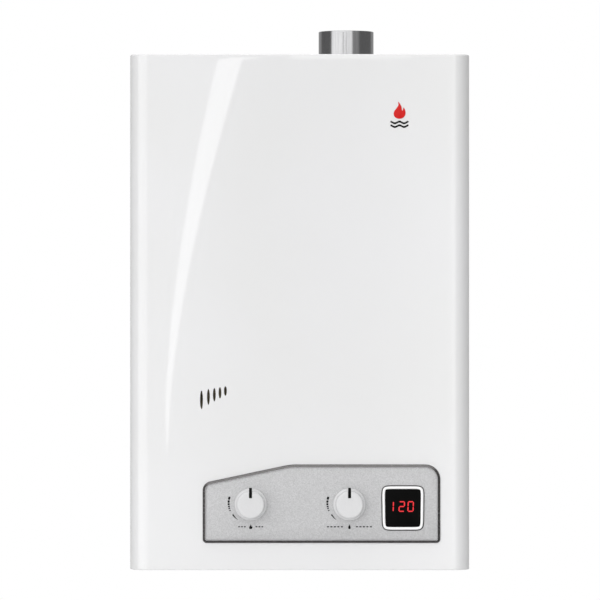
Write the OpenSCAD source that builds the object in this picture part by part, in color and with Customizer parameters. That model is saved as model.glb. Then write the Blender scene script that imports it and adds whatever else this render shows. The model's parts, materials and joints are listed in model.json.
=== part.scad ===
// Wall-hung gas water heater with a flue fan.
// +Y points into the wall, the front faces -Y and +Z is up. The origin is the
// centre of the back plate's wall face, at half the case height. The modules
// draw with z measured from the case's bottom edge, and from_base() drops them.

/* [Case] */
// Width of the case
case_w = 352; // [350:1:400]
// Height of the case
case_h = 534; // [534:1:560]
// Distance from the wall to the case's front face
case_d = 160; // [160:1:180]
// Radius of the two upright front corners
case_r = 18; // [8:1:22]
// Thickness of the case's sheet steel
sheet = 1; // [0.8:0.1:1.2]
// Height of the floor panel above the case's bottom edge
floor_z = 38; // [36:1:38]
// Width of the lip that the case turns in at top and bottom
lip = 12; // [8:1:12]

/* [Viewing slots] */
// Height of the tallest slot
slot_h = 19; // [14:1:20]
// Width of a slot
slot_w = 2.9; // [2:0.1:3.4]
// Distance between the first two slots; the later ones are a little closer
slot_pitch = 7.15; // [6.8:0.05:7.4]

/* [Controls] */
// Distance of the gas knob to the left of the case's centre line
gas_knob_offset = 50.7; // [48:0.1:52]
// Distance of the temperature knob to the right of the case's centre line
temperature_knob_offset = 51.4; // [50:0.1:53]
// Height of both knobs' axes
knob_z = 68.2; // [67:0.1:69]
// Diameter of a knob at its base
knob_d = 33.3; // [30:0.1:36]
// Length of a knob in front of the panel
knob_l = 14; // [10:1:16]
// Diameter of a valve spindle
spindle_d = 6; // [5:0.5:6]
// Turn from off, counter-clockwise, to the lowest setting
knob_turn = 135; // [120:1:135]
// Side of the nearly square display window
display_size = 45.5; // [42:0.5:46]

/* [Flue] */
// Outside diameter of the flue collar
flue_d = 58; // [56:1:59]
// Height of the collar's rim above the case
flue_rise = 28.5; // [25:0.5:60]

/* [Pipe connections] */
// Radius of a half-inch threaded connection
thread_r = 10.65; // [10.4:0.05:10.8]
// Height of the connections' ends above the case's bottom edge
thread_end_z = 8; // [5:0.5:10]

/* [Heat exchanger] */
// Number of burner bars
burner_count = 10; // [8:1:10]
// Number of fins
fin_count = 37; // [21:2:37]

/* [Hidden] */
$fn = 48;

// Small amount that one cutter passes the face it cuts
cut = 1;
// Gap between two pieces that are fixed to each other
fit = 0.05;
// Radial clearance of a turning shaft
running = 0.04;

half_w = case_w / 2;
inner_half = half_w - sheet;
front_y = -case_d;
inner_front_y = front_y + sheet;
top_panel_z = case_h - sheet - 0.4;
panel_inset = sheet + 2;
panel_front_y = front_y + panel_inset;

gas_x = -gas_knob_offset;
water_x = temperature_knob_offset;
hot_x = -140;
riser_x = 146;
// Distance of the three connections from the wall
pipe_y = 75;
// Flue axis: to the right of the centre line, and from the wall
flue_x = 49;
flue_y = 70;

// Control panel: thickness, trim width, and the outline's straight sides
face_t = 2;
trim_w = 3.3;
trim_t = 3;
panel_left = -100.4;
panel_right = 145.5;
panel_bottom = 28.1;
panel_top = 109.4;
panel_left_top = 90.2;
panel_slope = 12;
face_y = front_y - face_t;

// Display: place, window and its parts
display_x = 106.7;
display_z = 64.4;
display_h = display_size + 1.7;
bezel_w = 3.8;
bezel_t = 2;
digit_h = 11;
digit_w = 5.9;
digit_stroke = 1.25;
digit_slant = 6;

// Burner and heat exchanger, front to back and upwards
chamber_half = 115;
chamber_rear_y = -38;
chamber_front_y = -134;
chamber_z = 118;
chamber_top_z = 320;
exchanger_top_z = 375;
tube_z = 348;
tube_r = 7;
tube_pitch = 19;
tube_first_y = -124;
// An odd number, so that the coil goes in at the right and out at the left
tube_count = 5;
bend_r = 12;
pipe_r = 7;
pipe_wall = 1;
burner_pitch = 21;
manifold_z = 127;
electrode_z = 205;
electrode_x = 40;

// Fan: axis, volute and outlet
fan_x = 1;
fan_z = 466;
fan_rear_y = -46;
fan_front_y = -94;
volute_step = 6;
volute_r = 63;
impeller_r = 40;
blade_count = 24;
hood_top_z = 404;
outlet_z = 516;
motor_rear_y = -104;
motor_front_y = -138;

// ---- shared shapes -------------------------------------------------------

module from_base() {
    translate([0, 0, -case_h / 2])
        children();
}

// Turns a shape so that its z points out of the front and its y points up.
module facing(x, y, z) {
    translate([x, y, z])
        rotate([90, 0, 0])
            children();
}

function unit(v) = v / norm(v);

// Points of a straight-sided outline with an arc at each corner.
function rounded(points, radii, steps = 8) = [
    for (i = [0 : len(points) - 1])
        let (
            n = len(points),
            p = points[i],
            u = unit(points[(i + n - 1) % n] - p),
            v = unit(points[(i + 1) % n] - p),
            half = acos(u * v) / 2,
            r = radii[i],
            centre = p + unit(u + v) * r / sin(half),
            s = p + u * r / tan(half) - centre,
            e = p + v * r / tan(half) - centre,
            start = atan2(s.y, s.x),
            side = s.x * e.y - s.y * e.x > 0 ? 1 : -1,
            turn = side * (180 - 2 * half)
        )
        each [for (k = [0 : steps]) centre + r * [cos(start + turn * k / steps),
                                                  sin(start + turn * k / steps)]]
];

module ellipse(w, h) {
    polygon([for (a = [0 : 15 : 345]) [w / 2 * cos(a), h / 2 * sin(a)]]);
}

module rod(a, b, r) {
    d = b - a;
    translate(a)
        rotate([0, acos(d.z / norm(d)), atan2(d.y, d.x)])
            cylinder(r = r, h = norm(d));
}

// Quarter bend at corner p, from direction u to direction v.
module elbow(p, u, v, r, bend) {
    x = -v;
    z = cross(x, u);
    c = p + bend * (v - u);
    multmatrix([
        [x.x, u.x, z.x, c.x],
        [x.y, u.y, z.y, c.y],
        [x.z, u.z, z.z, c.z],
        [0, 0, 0, 1]
    ])
        rotate_extrude(angle = 90)
            translate([bend, 0])
                circle(r);
}

// Round bar along points that turn at right angles.
module bar(points, r, bend) {
    last = len(points) - 1;
    for (i = [0 : last - 1]) {
        u = unit(points[i + 1] - points[i]);
        a = points[i] + (i == 0 ? 0 : bend) * u;
        b = points[i + 1] - (i == last - 1 ? 0 : bend) * u;
        rod(a, b, r);
        if (i > 0)
            elbow(points[i], unit(points[i] - points[i - 1]), u, r, bend);
    }
}

function longer(points, by) = let (last = len(points) - 1) [
    for (i = [0 : last])
        i == 0 ? points[0] - by * unit(points[1] - points[0])
        : i == last ? points[last] + by * unit(points[last] - points[last - 1])
        : points[i]
];

module pipe(points, r, wall, bend) {
    difference() {
        bar(points, r, bend);
        bar(longer(points, cut), r - wall, bend);
    }
}

// Pan-head machine screw, its head on z = 0 and its shank going down.
module screw(shank_r, shank_l, head_r) {
    head_h = head_r * 0.6;
    difference() {
        union() {
            cylinder(r = head_r, h = head_h);
            translate([0, 0, -shank_l])
                cylinder(r = shank_r, h = shank_l);
        }
        for (a = [0, 90])
            rotate(a)
                translate([-head_r * 0.6, -head_r * 0.12, head_h * 0.5])
                    cube([head_r * 1.2, head_r * 0.24, head_h]);
    }
}

module hexagon_bar(across, h) {
    cylinder(d = across / cos(30), h = h, $fn = 6);
}

// ---- case ----------------------------------------------------------------

// Case seen from above: square at the wall, round at the two front corners.
module case_outline(inset) {
    w = half_w - inset;
    r = case_r - inset;
    front = case_d - inset;
    translate([-w, -front + r])
        square([2 * w, front - r]);
    translate([-w + r, -front])
        square([2 * (w - r), r + cut]);
    for (s = [-1, 1])
        translate([s * (w - r), -front + r])
            circle(r, $fn = 96);
}

// Viewing slots, counted from the left: each is shorter and sits higher than the last.
slot_x = -101.6;
slot_z = 176.2;
function slot_height(i) = slot_h * pow(0.845, i);
function slot_right(i) = slot_pitch * pow(i, 0.895);
function slot_rise(i) = 3.1 * pow(i, 0.78);

screw_x = 120;
cover_screw_y = front_y + 7;
tab_z = floor_z - sheet - 0.4;

module front_cover() {
    color("white")
    from_base() difference() {
        union() {
            difference() {
                linear_extrude(case_h)
                    case_outline(0);
                translate([0, 0, sheet])
                    linear_extrude(case_h - 2 * sheet)
                        case_outline(sheet);
                translate([0, 0, -cut])
                    linear_extrude(case_h + 2 * cut)
                        case_outline(lip);
            }
            // Tabs that carry the two cover screws
            for (s = [-1, 1])
                translate([s * screw_x - 10, front_y + sheet / 2, tab_z - sheet])
                    cube([20, 13, sheet]);
        }
        // Open back, clear of the wall
        translate([-case_w, -2, -cut])
            cube([2 * case_w, case_d, case_h + 2 * cut]);
        for (s = [-1, 1])
            translate([s * screw_x, cover_screw_y, tab_z - 2 * sheet])
                cylinder(r = 2.2, h = 3 * sheet);
        for (i = [0 : 4])
            facing(slot_x + slot_right(i), inner_front_y + cut, slot_z + slot_rise(i))
                linear_extrude(sheet + 2 * cut)
                    ellipse(slot_w, slot_height(i));
        for (x = [gas_x, water_x])
            facing(x, inner_front_y + cut, knob_z)
                cylinder(r = 9, h = sheet + 2 * cut);
        facing(display_x, inner_front_y + cut, display_z)
            linear_extrude(sheet + 2 * cut)
                square([32, 22], center = true);
    }
}

module cover_screws() {
    color("silver")
    from_base() for (s = [-1, 1])
        translate([s * screw_x, cover_screw_y, tab_z - sheet])
            mirror([0, 0, 1])
                screw(2, 8, 4);
}

// ---- control panel -------------------------------------------------------

function panel_points(inset) = [
    [panel_left + inset, panel_bottom + inset],
    [panel_right - inset, panel_bottom + inset],
    [panel_right - inset, panel_top - inset],
    [panel_left + (panel_top - panel_left_top - inset + inset / cos(panel_slope))
        / tan(panel_slope), panel_top - inset],
    [panel_left + inset, panel_left_top + inset * tan(panel_slope) - inset / cos(panel_slope)]
];
function panel_radii(inset) = [4.2 - inset, 4.2 - inset, 15.5 - inset, 60, 9.5 - inset];

module panel_outline(inset) {
    polygon(rounded(panel_points(inset), panel_radii(inset)));
}

module control_panel() {
    color("gainsboro")
    from_base() difference() {
        facing(0, front_y, 0)
            linear_extrude(face_t)
                panel_outline(trim_w + fit);
        for (x = [gas_x, water_x])
            facing(x, front_y + cut, knob_z)
                cylinder(r = 8, h = face_t + 2 * cut);
        facing(display_x, front_y + cut, display_z)
            linear_extrude(face_t + 2 * cut)
                square([32, 22], center = true);
    }
}

module panel_trim() {
    color("dimgray")
    from_base() facing(0, front_y, 0)
        linear_extrude(trim_t)
            difference() {
                panel_outline(0);
                panel_outline(trim_w);
            }
}

// Printed marks beside each knob: six dots and a thinning tail.
print_t = 0.2;
mark_r = 23;
dot_angles = [74, 82.8, 89.7, 95.8, 100.8, 106.6];
tail_start = 119;
tail_end = knob_turn + 4;

module printed_scale() {
    for (i = [0 : len(dot_angles) - 1])
        rotate(dot_angles[i])
            translate([0, mark_r - 0.15 * i])
                square([3.1 * pow(0.78, i), 2.2 - 0.08 * i], center = true);
    polygon([
        for (a = [tail_start : 2.5 : tail_end])
            (mark_r - 1 - 1.1 * (a - tail_start) / (tail_end - tail_start)) * [-sin(a), cos(a)],
        for (a = [tail_end : -2.5 : tail_start])
            (mark_r - 2.4) * [-sin(a), cos(a)]
    ]);
}

module scale_marks() {
    color("black")
    from_base() for (x = [gas_x, water_x])
        facing(x, face_y, knob_z)
            linear_extrude(print_t)
                printed_scale();
}

module flame_sign(h) {
    polygon(rounded([
        [0, h], [-0.34 * h, 0.42 * h], [-0.2 * h, 0], [0.2 * h, 0], [0.34 * h, 0.42 * h]
    ], [0.03 * h, 0.16 * h, 0.16 * h, 0.16 * h, 0.16 * h], 4));
}

module drop_sign(h) {
    circle(0.3 * h, $fn = 32);
    polygon([[-0.29 * h, 0.08 * h], [0.29 * h, 0.08 * h], [0, 0.75 * h]]);
}

module sign_bars(count, pitch) {
    for (i = [0 : count - 1])
        translate([(i - (count - 1) / 2) * pitch, 0])
            square([pitch * 0.6, 1.4], center = true);
}

sign_z = 45;

module panel_pictograms() {
    color("black")
    from_base() {
        facing(gas_x, face_y, sign_z - 2)
            linear_extrude(print_t)
                flame_sign(5);
        facing(water_x, face_y, sign_z - 1)
            linear_extrude(print_t)
                drop_sign(4);
        for (s = [-1, 1]) {
            facing(gas_x + s * 9, face_y, sign_z)
                linear_extrude(print_t)
                    sign_bars(3, 3);
            facing(water_x + s * 15, face_y, sign_z)
                linear_extrude(print_t)
                    sign_bars(5, 3.6);
        }
    }
}

// Knob: a skirted cone with a rounded front edge and a bored hub behind it.
knob_gap = 0.6;
hub_r = 6;
hub_l = 12;
spindle_r = spindle_d / 2;
spindle_front_y = face_y - 9;
bore_gap = 0.3;
pointer_r = 7;

module d_shape(r, flat) {
    difference() {
        circle(r);
        translate([-r - cut, flat])
            square([2 * (r + cut), r]);
    }
}

module knob(x) {
    r = knob_d / 2;
    from_base() difference() {
        union() {
            facing(x, face_y - knob_gap, knob_z)
                rotate_extrude($fn = 96)
                    polygon([
                        [0, 0], [r, 0], [r, 2.6], [r - 1.6, 3.4], [r - 2.6, knob_l - 1.6],
                        [r - 3.4, knob_l - 0.5], [r - 5, knob_l], [0, knob_l]
                    ]);
            facing(x, face_y + hub_l, knob_z)
                cylinder(r = hub_r, h = hub_l + cut);
        }
        facing(x, face_y + hub_l + cut, knob_z)
            linear_extrude(hub_l + cut + 10)
                d_shape(spindle_r + bore_gap, spindle_r - 1 + bore_gap);
        // Slot for the pointer
        facing(x, face_y - knob_gap - knob_l + 1, knob_z)
            translate([-1.6, pointer_r, 0])
                cube([3.2, r, knob_l]);
    }
}

module pointer(x) {
    r = knob_d / 2;
    from_base() facing(x, face_y - knob_gap - knob_l + 1 - fit, knob_z)
        translate([-1.55, pointer_r + fit, 0])
            cube([3.1, r - 6, 1.4]);
}

module gas_knob() { color("whitesmoke") knob(gas_x); }
module temperature_knob() { color("whitesmoke") knob(water_x); }
module gas_knob_pointer() { color("black") pointer(gas_x); }
module temperature_knob_pointer() { color("black") pointer(water_x); }

// Nearly square window outline, a little narrower at the bottom.
module window_outline(inset) {
    w = display_size / 2 - inset;
    h = display_h / 2 - inset;
    bulge = 0.8;
    taper = 0.8;
    r = 5 - inset * 0.4;
    polygon(rounded([
        [-w + taper + bulge, -h], [0, -h - bulge], [w - taper - bulge, -h], [w, 0],
        [w - bulge, h], [0, h + bulge], [-w + bulge, h], [-w, 0]
    ], [r, 60, r, 60, r, 60, r, 60], 5));
}

module display_bezel() {
    color("white")
    from_base() facing(display_x, face_y, display_z)
        linear_extrude(bezel_t)
            difference() {
                window_outline(0);
                window_outline(bezel_w);
            }
}

module display_lens() {
    color("black")
    from_base() facing(display_x, face_y, display_z)
        linear_extrude(bezel_t - 0.5)
            window_outline(bezel_w + fit);
}

// Seven-segment digit: segments a to g in a string of 0 and 1.
module digit(segments) {
    w = digit_w - digit_stroke;
    h = (digit_h - digit_stroke) / 2;
    gap = digit_stroke + 0.3;
    places = [
        [0, h, 1], [w / 2, h / 2, 0], [w / 2, -h / 2, 0], [0, -h, 1],
        [-w / 2, -h / 2, 0], [-w / 2, h / 2, 0], [0, 0, 1]
    ];
    multmatrix([[1, tan(digit_slant), 0, 0], [0, 1, 0, 0], [0, 0, 1, 0], [0, 0, 0, 1]])
        for (i = [0 : 6])
            if (segments[i] == 1)
                translate([places[i].x, places[i].y])
                    square(places[i].z == 1 ? [w - gap + 1.2, digit_stroke]
                                            : [digit_stroke, h - gap + 1.2], center = true);
}

module display_digits() {
    color("red")
    from_base() facing(display_x, face_y - bezel_t + 0.5, display_z + 1.6)
        linear_extrude(print_t) {
            translate([-12.6, 0])
                digit([0, 1, 1, 0, 0, 0, 0]);
            translate([-2.4, 0])
                digit([1, 1, 0, 1, 1, 0, 1]);
            translate([8, 0])
                digit([1, 1, 1, 1, 1, 1, 0]);
        }
}

module display_board() {
    board_y = inner_front_y + 6;
    color("darkgreen")
    from_base() difference() {
        union() {
            facing(display_x, board_y + 1.6, display_z)
                linear_extrude(1.6)
                    square([44, 40], center = true);
            facing(display_x, board_y, display_z)
                linear_extrude(board_y - face_y - 0.3)
                    square([30, 20], center = true);
            for (x = [-18, 18], z = [-16, 16])
                facing(display_x + x, board_y, display_z + z)
                    cylinder(r = 2.5, h = board_y - inner_front_y);
        }
        for (x = [-18, 18], z = [-16, 16])
            facing(display_x + x, board_y + 2, display_z + z)
                cylinder(r = 1.2, h = 6);
    }
}

badge_x = 103.2;
badge_z = 472.5;

module badge() {
    color("firebrick")
    from_base() facing(badge_x, front_y, badge_z - 13)
        linear_extrude(0.4) {
            translate([0, 8])
                flame_sign(18);
            // Two waves under the flame
            for (y = [0, 4])
                polygon([
                    for (x = [-10 : 1 : 10]) [x, y + 0.9 + 0.8 * cos(x * 36)],
                    for (x = [10 : -1 : -10]) [x, y - 0.9 + 0.8 * cos(x * 36)]
                ]);
        }
}

// ---- chassis -------------------------------------------------------------

plate_half = inner_half - 0.6;
plate_low_z = 4;
pan_d = 14;
keyhole_x = 100;
keyhole_z = case_h - 36;
lower_hole_z = 20;
wall_hole_r = 3.5;

module back_plate() {
    color("lightgray")
    from_base() difference() {
        union() {
            translate([-plate_half, -sheet, plate_low_z])
                cube([2 * plate_half, sheet, top_panel_z - sheet - plate_low_z]);
            for (s = [-1, 1])
                translate([s > 0 ? plate_half - sheet : -plate_half, -pan_d, plate_low_z])
                    cube([sheet, pan_d, top_panel_z - sheet - plate_low_z - 0.4]);
            for (x = [-60, 60])
                translate([x - 5, -4, 60])
                    cube([10, 4, 400]);
        }
        for (x = [-60, 60])
            translate([x - 4, -3, 61])
                cube([8, 3 + cut, 398]);
        for (s = [-1, 1]) {
            facing(s * keyhole_x, cut, keyhole_z)
                cylinder(r = 5.5, h = sheet + 2 * cut);
            facing(s * keyhole_x, cut, keyhole_z)
                translate([-3, 0, 0])
                    cube([6, 12, sheet + 2 * cut]);
            facing(s * keyhole_x, cut, keyhole_z + 12)
                cylinder(r = 3, h = sheet + 2 * cut);
            facing(s * keyhole_x, cut, lower_hole_z)
                cylinder(r = wall_hole_r, h = sheet + 2 * cut);
        }
    }
}

module flat_panel(z) {
    translate([0, 0, z])
        linear_extrude(sheet)
            intersection() {
                case_outline(panel_inset);
                translate([-half_w, panel_front_y])
                    square([case_w, -panel_front_y - sheet - fit]);
            }
}

module top_panel() {
    color("lightgray")
    from_base() difference() {
        flat_panel(top_panel_z - sheet);
        translate([flue_x, -flue_y, top_panel_z - sheet - cut])
            cylinder(r = flue_d / 2 + 1, h = sheet + 2 * cut);
    }
}

gland_x = 157;
gland_y = -40;
relief_x = 98;

module bottom_panel() {
    color("lightgray")
    from_base() difference() {
        flat_panel(floor_z);
        // Notches, open to the front, that the cover screws slide into
        for (s = [-1, 1]) {
            translate([s * screw_x, cover_screw_y, floor_z - cut])
                cylinder(r = 2.7, h = sheet + 2 * cut);
            translate([s * screw_x - 2.7, cover_screw_y - 20, floor_z - cut])
                cube([5.4, 20, sheet + 2 * cut]);
        }
        for (x = [hot_x, gas_x, water_x])
            translate([x, -pipe_y, floor_z - cut])
                cylinder(r = thread_r + 0.6, h = sheet + 2 * cut);
        translate([relief_x, -pipe_y, floor_z - cut])
            cylinder(r = 9, h = sheet + 2 * cut);
        translate([gland_x, gland_y, floor_z - cut])
            cylinder(r = 5, h = sheet + 2 * cut);
        // Combustion air slots
        for (i = [0 : 15], row = [-34, -122])
            translate([-105 + i * 14, row - 9, floor_z - cut])
                cube([4, 18, sheet + 2 * cut]);
    }
}

module chassis_screws() {
    color("silver")
    from_base() {
        // Chamber brackets to the back plate
        for (s = [-1, 1], z = [155, 285])
            facing(s * 104, -sheet - 1.6, z)
                screw(2, 1.5, 4);
        // Fan motor legs
        for (a = motor_leg_angles)
            facing(fan_x + motor_leg_r * cos(a), motor_rear_y - 2, fan_z + motor_leg_r * sin(a))
                screw(1.8, 1.9, 3.4);
        // Flue flange
        for (a = [45 : 90 : 315])
            translate([flue_x + 38 * cos(a), -flue_y + 38 * sin(a), outlet_z + 5])
                screw(1.8, 2, 3.4);
    }
}

// ---- flue side -----------------------------------------------------------

collar_r = flue_d / 2;
flange_r = 43;

module flue_collar() {
    color("whitesmoke")
    from_base() translate([flue_x, -flue_y, 0]) difference() {
        union() {
            translate([0, 0, outlet_z + 3.5])
                cylinder(r = flange_r, h = 1.5);
            translate([0, 0, outlet_z + 3.5])
                cylinder(r = collar_r, h = case_h + flue_rise - outlet_z - 3.5, $fn = 96);
            // Wider foot that the vent pipe stops at
            translate([0, 0, outlet_z + 3.5])
                cylinder(r = collar_r + 0.4, h = case_h + 0.5 - outlet_z - 3.5, $fn = 96);
        }
        translate([0, 0, outlet_z])
            cylinder(r = collar_r - sheet, h = case_h + flue_rise, $fn = 96);
        for (a = [45 : 90 : 315])
            rotate(a)
                translate([38, 0, outlet_z])
                    cylinder(r = 1.9, h = 20);
    }
}

module flue_gasket() {
    color("dimgray")
    from_base() translate([flue_x, -flue_y, outlet_z + 2]) difference() {
        cylinder(r = flange_r - 1, h = 1.5);
        translate([0, 0, -cut])
            cylinder(r = collar_r - sheet, h = 1.5 + 2 * cut);
        for (a = [45 : 90 : 315])
            rotate(a)
                translate([38, 0, -cut])
                    cylinder(r = 1.9, h = 4);
    }
}

// Quarter disc: the corner of a circle that lies in one quadrant.
module quarter(centre, r, from_angle) {
    translate(centre)
        rotate(from_angle)
            intersection() {
                circle(r, $fn = 96);
                square(r + cut);
            }
}

// Volute of four quarter arcs whose centres sit on a small square, and the
// upright outlet that leaves its right side.
module volute(inset) {
    s = volute_step;
    c = s / 2;
    quarter([c, c], volute_r - inset, 270);
    quarter([c, -c + 2 * c - s], volute_r - s - inset, 180);
    quarter([-c, -c], volute_r - 2 * s - inset, 90);
    quarter([-c, c], volute_r - 3 * s - inset, 0);
    square(2 * s, center = true);
    square([volute_r + c - inset, s / 2]);
    translate([volute_r + c - 36 + inset, 0])
        square([36 - 2 * inset, outlet_z - fan_z + (inset > 0 ? 5 : 0)]);
}

motor_leg_r = 33;
motor_leg_angles = [90, 210, 330];
inlet_r = 27;
tail_r = 2;
tail_z = 495;

module fan_housing() {
    depth = fan_rear_y - fan_front_y;
    color("silver")
    from_base() difference() {
        union() {
            facing(fan_x, fan_rear_y, fan_z)
                linear_extrude(depth)
                    volute(0);
            // Flange under the flue collar
            translate([flue_x, -flue_y, outlet_z])
                cylinder(r = flange_r, h = 2);
            for (a = motor_leg_angles)
                facing(fan_x + motor_leg_r * cos(a), fan_front_y, fan_z + motor_leg_r * sin(a))
                    cylinder(r = 4, h = fan_front_y - motor_rear_y);
            // Hose tail for the air pressure switch
            translate([fan_x + 65, -flue_y, tail_z])
                rotate([0, 90, 0])
                    cylinder(r = tail_r, h = 12);
        }
        facing(fan_x, fan_rear_y - sheet, fan_z)
            linear_extrude(depth - 2 * sheet)
                volute(sheet);
        facing(fan_x, fan_rear_y + cut, fan_z)
            cylinder(r = inlet_r, h = sheet + 2 * cut);
        facing(fan_x, fan_front_y + 3, fan_z)
            cylinder(r = 6, h = 5);
        for (a = motor_leg_angles)
            facing(fan_x + motor_leg_r * cos(a), fan_front_y - 3, fan_z + motor_leg_r * sin(a))
                cylinder(r = 1.85, h = 12);
        translate([fan_x + 60, -flue_y, tail_z])
            rotate([0, 90, 0])
                cylinder(r = 1, h = 30);
        for (a = [45 : 90 : 315])
            translate([flue_x + 38 * cos(a), -flue_y + 38 * sin(a), outlet_z - cut])
                cylinder(r = 1.9, h = 4);
    }
}

shaft_r = 3;

module fan_impeller() {
    front = fan_front_y + 6;
    wheel_d = 36;
    color("gainsboro")
    from_base() facing(fan_x, front + wheel_d, fan_z) difference() {
        union() {
            // Back disc at the motor side, rim ring at the intake side
            translate([0, 0, wheel_d - 1])
                cylinder(r = impeller_r, h = 1);
            difference() {
                cylinder(r = impeller_r, h = 1.5);
                translate([0, 0, -cut])
                    cylinder(r = inlet_r + 3, h = 4);
            }
            for (i = [0 : blade_count - 1])
                rotate(i * 360 / blade_count)
                    translate([inlet_r + 4, 0, 0.5])
                        rotate(28)
                            cube([8.4, 0.9, wheel_d - 1]);
            translate([0, 0, wheel_d - 14])
                cylinder(r = 7, h = 14);
        }
        translate([0, 0, -cut])
            cylinder(r = shaft_r + fit, h = wheel_d + 2 * cut);
    }
}

module fan_shaft() {
    color("silver")
    from_base() facing(fan_x, fan_front_y + 22, fan_z)
        cylinder(r = shaft_r, h = fan_front_y + 22 - motor_front_y + 4);
}

module fan_motor() {
    len = motor_rear_y - motor_front_y;
    color("dimgray")
    from_base() difference() {
        union() {
            facing(fan_x, motor_rear_y, fan_z)
                cylinder(r = 38, h = 2);
            facing(fan_x, motor_rear_y, fan_z)
                cylinder(r = 27, h = len, $fn = 96);
        }
        facing(fan_x, motor_rear_y - 4, fan_z)
            cylinder(r = 24, h = len - 8);
        facing(fan_x, motor_rear_y + cut, fan_z)
            cylinder(r = 6, h = len + 2 * cut);
        for (a = motor_leg_angles)
            facing(fan_x + motor_leg_r * cos(a), motor_rear_y + cut, fan_z + motor_leg_r * sin(a))
                cylinder(r = 1.9, h = 4);
    }
}

module fan_bearings() {
    color("goldenrod")
    from_base() for (y = [motor_rear_y, motor_front_y + 4])
        facing(fan_x, y, fan_z)
            difference() {
                cylinder(r = 6 - fit, h = 4);
                translate([0, 0, -cut])
                    cylinder(r = shaft_r + running, h = 4 + 2 * cut);
            }
}

module exhaust_hood() {
    z0 = exchanger_top_z + 1;
    duct_top = 508;
    color("silver")
    from_base() difference() {
        union() {
            translate([-chamber_half, chamber_front_y, z0])
                cube([2 * chamber_half, -16 - chamber_front_y, hood_top_z - z0]);
            translate([fan_x - 48, -45, z0])
                cube([96, 29, duct_top - z0]);
        }
        translate([-chamber_half + sheet, chamber_front_y + sheet, z0 + sheet])
            cube([2 * (chamber_half - sheet), -16 - chamber_front_y - 2 * sheet,
                  hood_top_z - z0 - 2 * sheet]);
        translate([fan_x - 48 + sheet, -45 + sheet, z0 + sheet])
            cube([96 - 2 * sheet, 29 - 2 * sheet, duct_top - z0 - 2 * sheet]);
        translate([-chamber_half + sheet, chamber_front_y + sheet, z0 - cut])
            cube([2 * (chamber_half - sheet), chamber_rear_y - chamber_front_y - 2 * sheet, 4]);
        facing(fan_x, -45 + 3, fan_z)
            cylinder(r = inlet_r, h = 5);
    }
}

// ---- heat exchanger ------------------------------------------------------

chamber_d = chamber_rear_y - chamber_front_y;
function tube_y(i) = tube_first_y + i * tube_pitch;
tube_end_x = chamber_half + 3;

module tube_holes(r, l) {
    for (i = [0 : tube_count - 1])
        translate([-l / 2, tube_y(i), tube_z])
            rotate([0, 90, 0])
                cylinder(r = r, h = l);
}

module heat_exchanger_shell() {
    z0 = chamber_top_z + 1;
    color("peru")
    from_base() difference() {
        translate([-chamber_half, chamber_front_y, z0])
            cube([2 * chamber_half, chamber_d, exchanger_top_z - z0]);
        translate([-chamber_half + sheet, chamber_front_y + sheet, z0 - cut])
            cube([2 * (chamber_half - sheet), chamber_d - 2 * sheet,
                  exchanger_top_z - z0 + 2 * cut]);
        tube_holes(tube_r + fit, 2 * chamber_half + 4);
    }
}

module heat_exchanger_fins() {
    pitch = 216 / (fin_count - 1);
    color("peru")
    from_base() difference() {
        for (i = [0 : fin_count - 1])
            translate([-108 + i * pitch - 0.25, chamber_front_y + 1.5, chamber_top_z + 4])
                cube([0.5, chamber_d - 3, 48]);
        tube_holes(tube_r + fit, 2 * chamber_half);
    }
}

// Tubes joined by half-round bends, in at the right front, out at the left rear.
module exchanger_coil(r, extra) {
    for (i = [0 : tube_count - 1])
        translate([-tube_end_x - extra, tube_y(i), tube_z])
            rotate([0, 90, 0])
                cylinder(r = r, h = 2 * (tube_end_x + extra));
    for (i = [0 : tube_count - 2])
        translate([(i % 2 == 0 ? -1 : 1) * (tube_end_x + extra),
                   tube_y(i) + tube_pitch / 2, tube_z])
            rotate(i % 2 == 0 ? 90 : -90)
                rotate_extrude(angle = 180)
                    translate([tube_pitch / 2, 0])
                        circle(r);
}

module heat_exchanger_tubes() {
    color("chocolate")
    from_base() difference() {
        exchanger_coil(tube_r, 0);
        exchanger_coil(tube_r - pipe_wall, 0);
        for (s = [-1, 1])
            translate([s > 0 ? tube_end_x - 2 : -tube_end_x - 2,
                       s > 0 ? tube_y(0) : tube_y(tube_count - 1), tube_z])
                rotate([0, 90, 0])
                    cylinder(r = tube_r - pipe_wall, h = 4);
    }
}

// ---- burner --------------------------------------------------------------

window_x = -89.2;
window_z = 179;

module combustion_chamber() {
    color("silver")
    from_base() difference() {
        union() {
            translate([-chamber_half, chamber_front_y, chamber_z])
                cube([2 * chamber_half, chamber_d, chamber_top_z - chamber_z]);
            // Brackets to the back plate
            for (s = [-1, 1]) {
                translate([s * 94 - 1, chamber_rear_y - 0.5, 140])
                    cube([2, -chamber_rear_y - sheet - 0.1 + 0.5, 160]);
                translate([s > 0 ? 93 : -115, -sheet - 1.6, 140])
                    cube([22, 1.5, 160]);
            }
        }
        translate([-chamber_half + sheet, chamber_front_y + sheet, chamber_z - cut])
            cube([2 * (chamber_half - sheet), chamber_d - 2 * sheet,
                  chamber_top_z - chamber_z + 2 * cut]);
        // Opening for the manifold
        translate([-108, chamber_front_y - cut, chamber_z - cut])
            cube([216, 3 * sheet, 23]);
        // Viewing window
        translate([window_x - 16, chamber_front_y - cut, window_z - 10])
            cube([32, 3 * sheet, 20]);
        for (s = [-1, 1]) {
            facing(s * electrode_x, chamber_front_y + 3, electrode_z)
                cylinder(r = 4.5, h = 6);
            for (z = [155, 285])
                facing(s * 104, 0, z)
                    cylinder(r = 2.1, h = 5);
        }
    }
}

module viewing_window() {
    color("lightsteelblue")
    from_base() difference() {
        translate([window_x - 19, chamber_front_y - 1.6, window_z - 13])
            cube([38, 1.5, 26]);
        for (s = [-1, 1])
            facing(window_x + s * 17.4, chamber_front_y + 1, window_z)
                cylinder(r = 0.9, h = 4);
    }
}

bar_rear_y = -44;
bar_front_y = -128;

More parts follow.
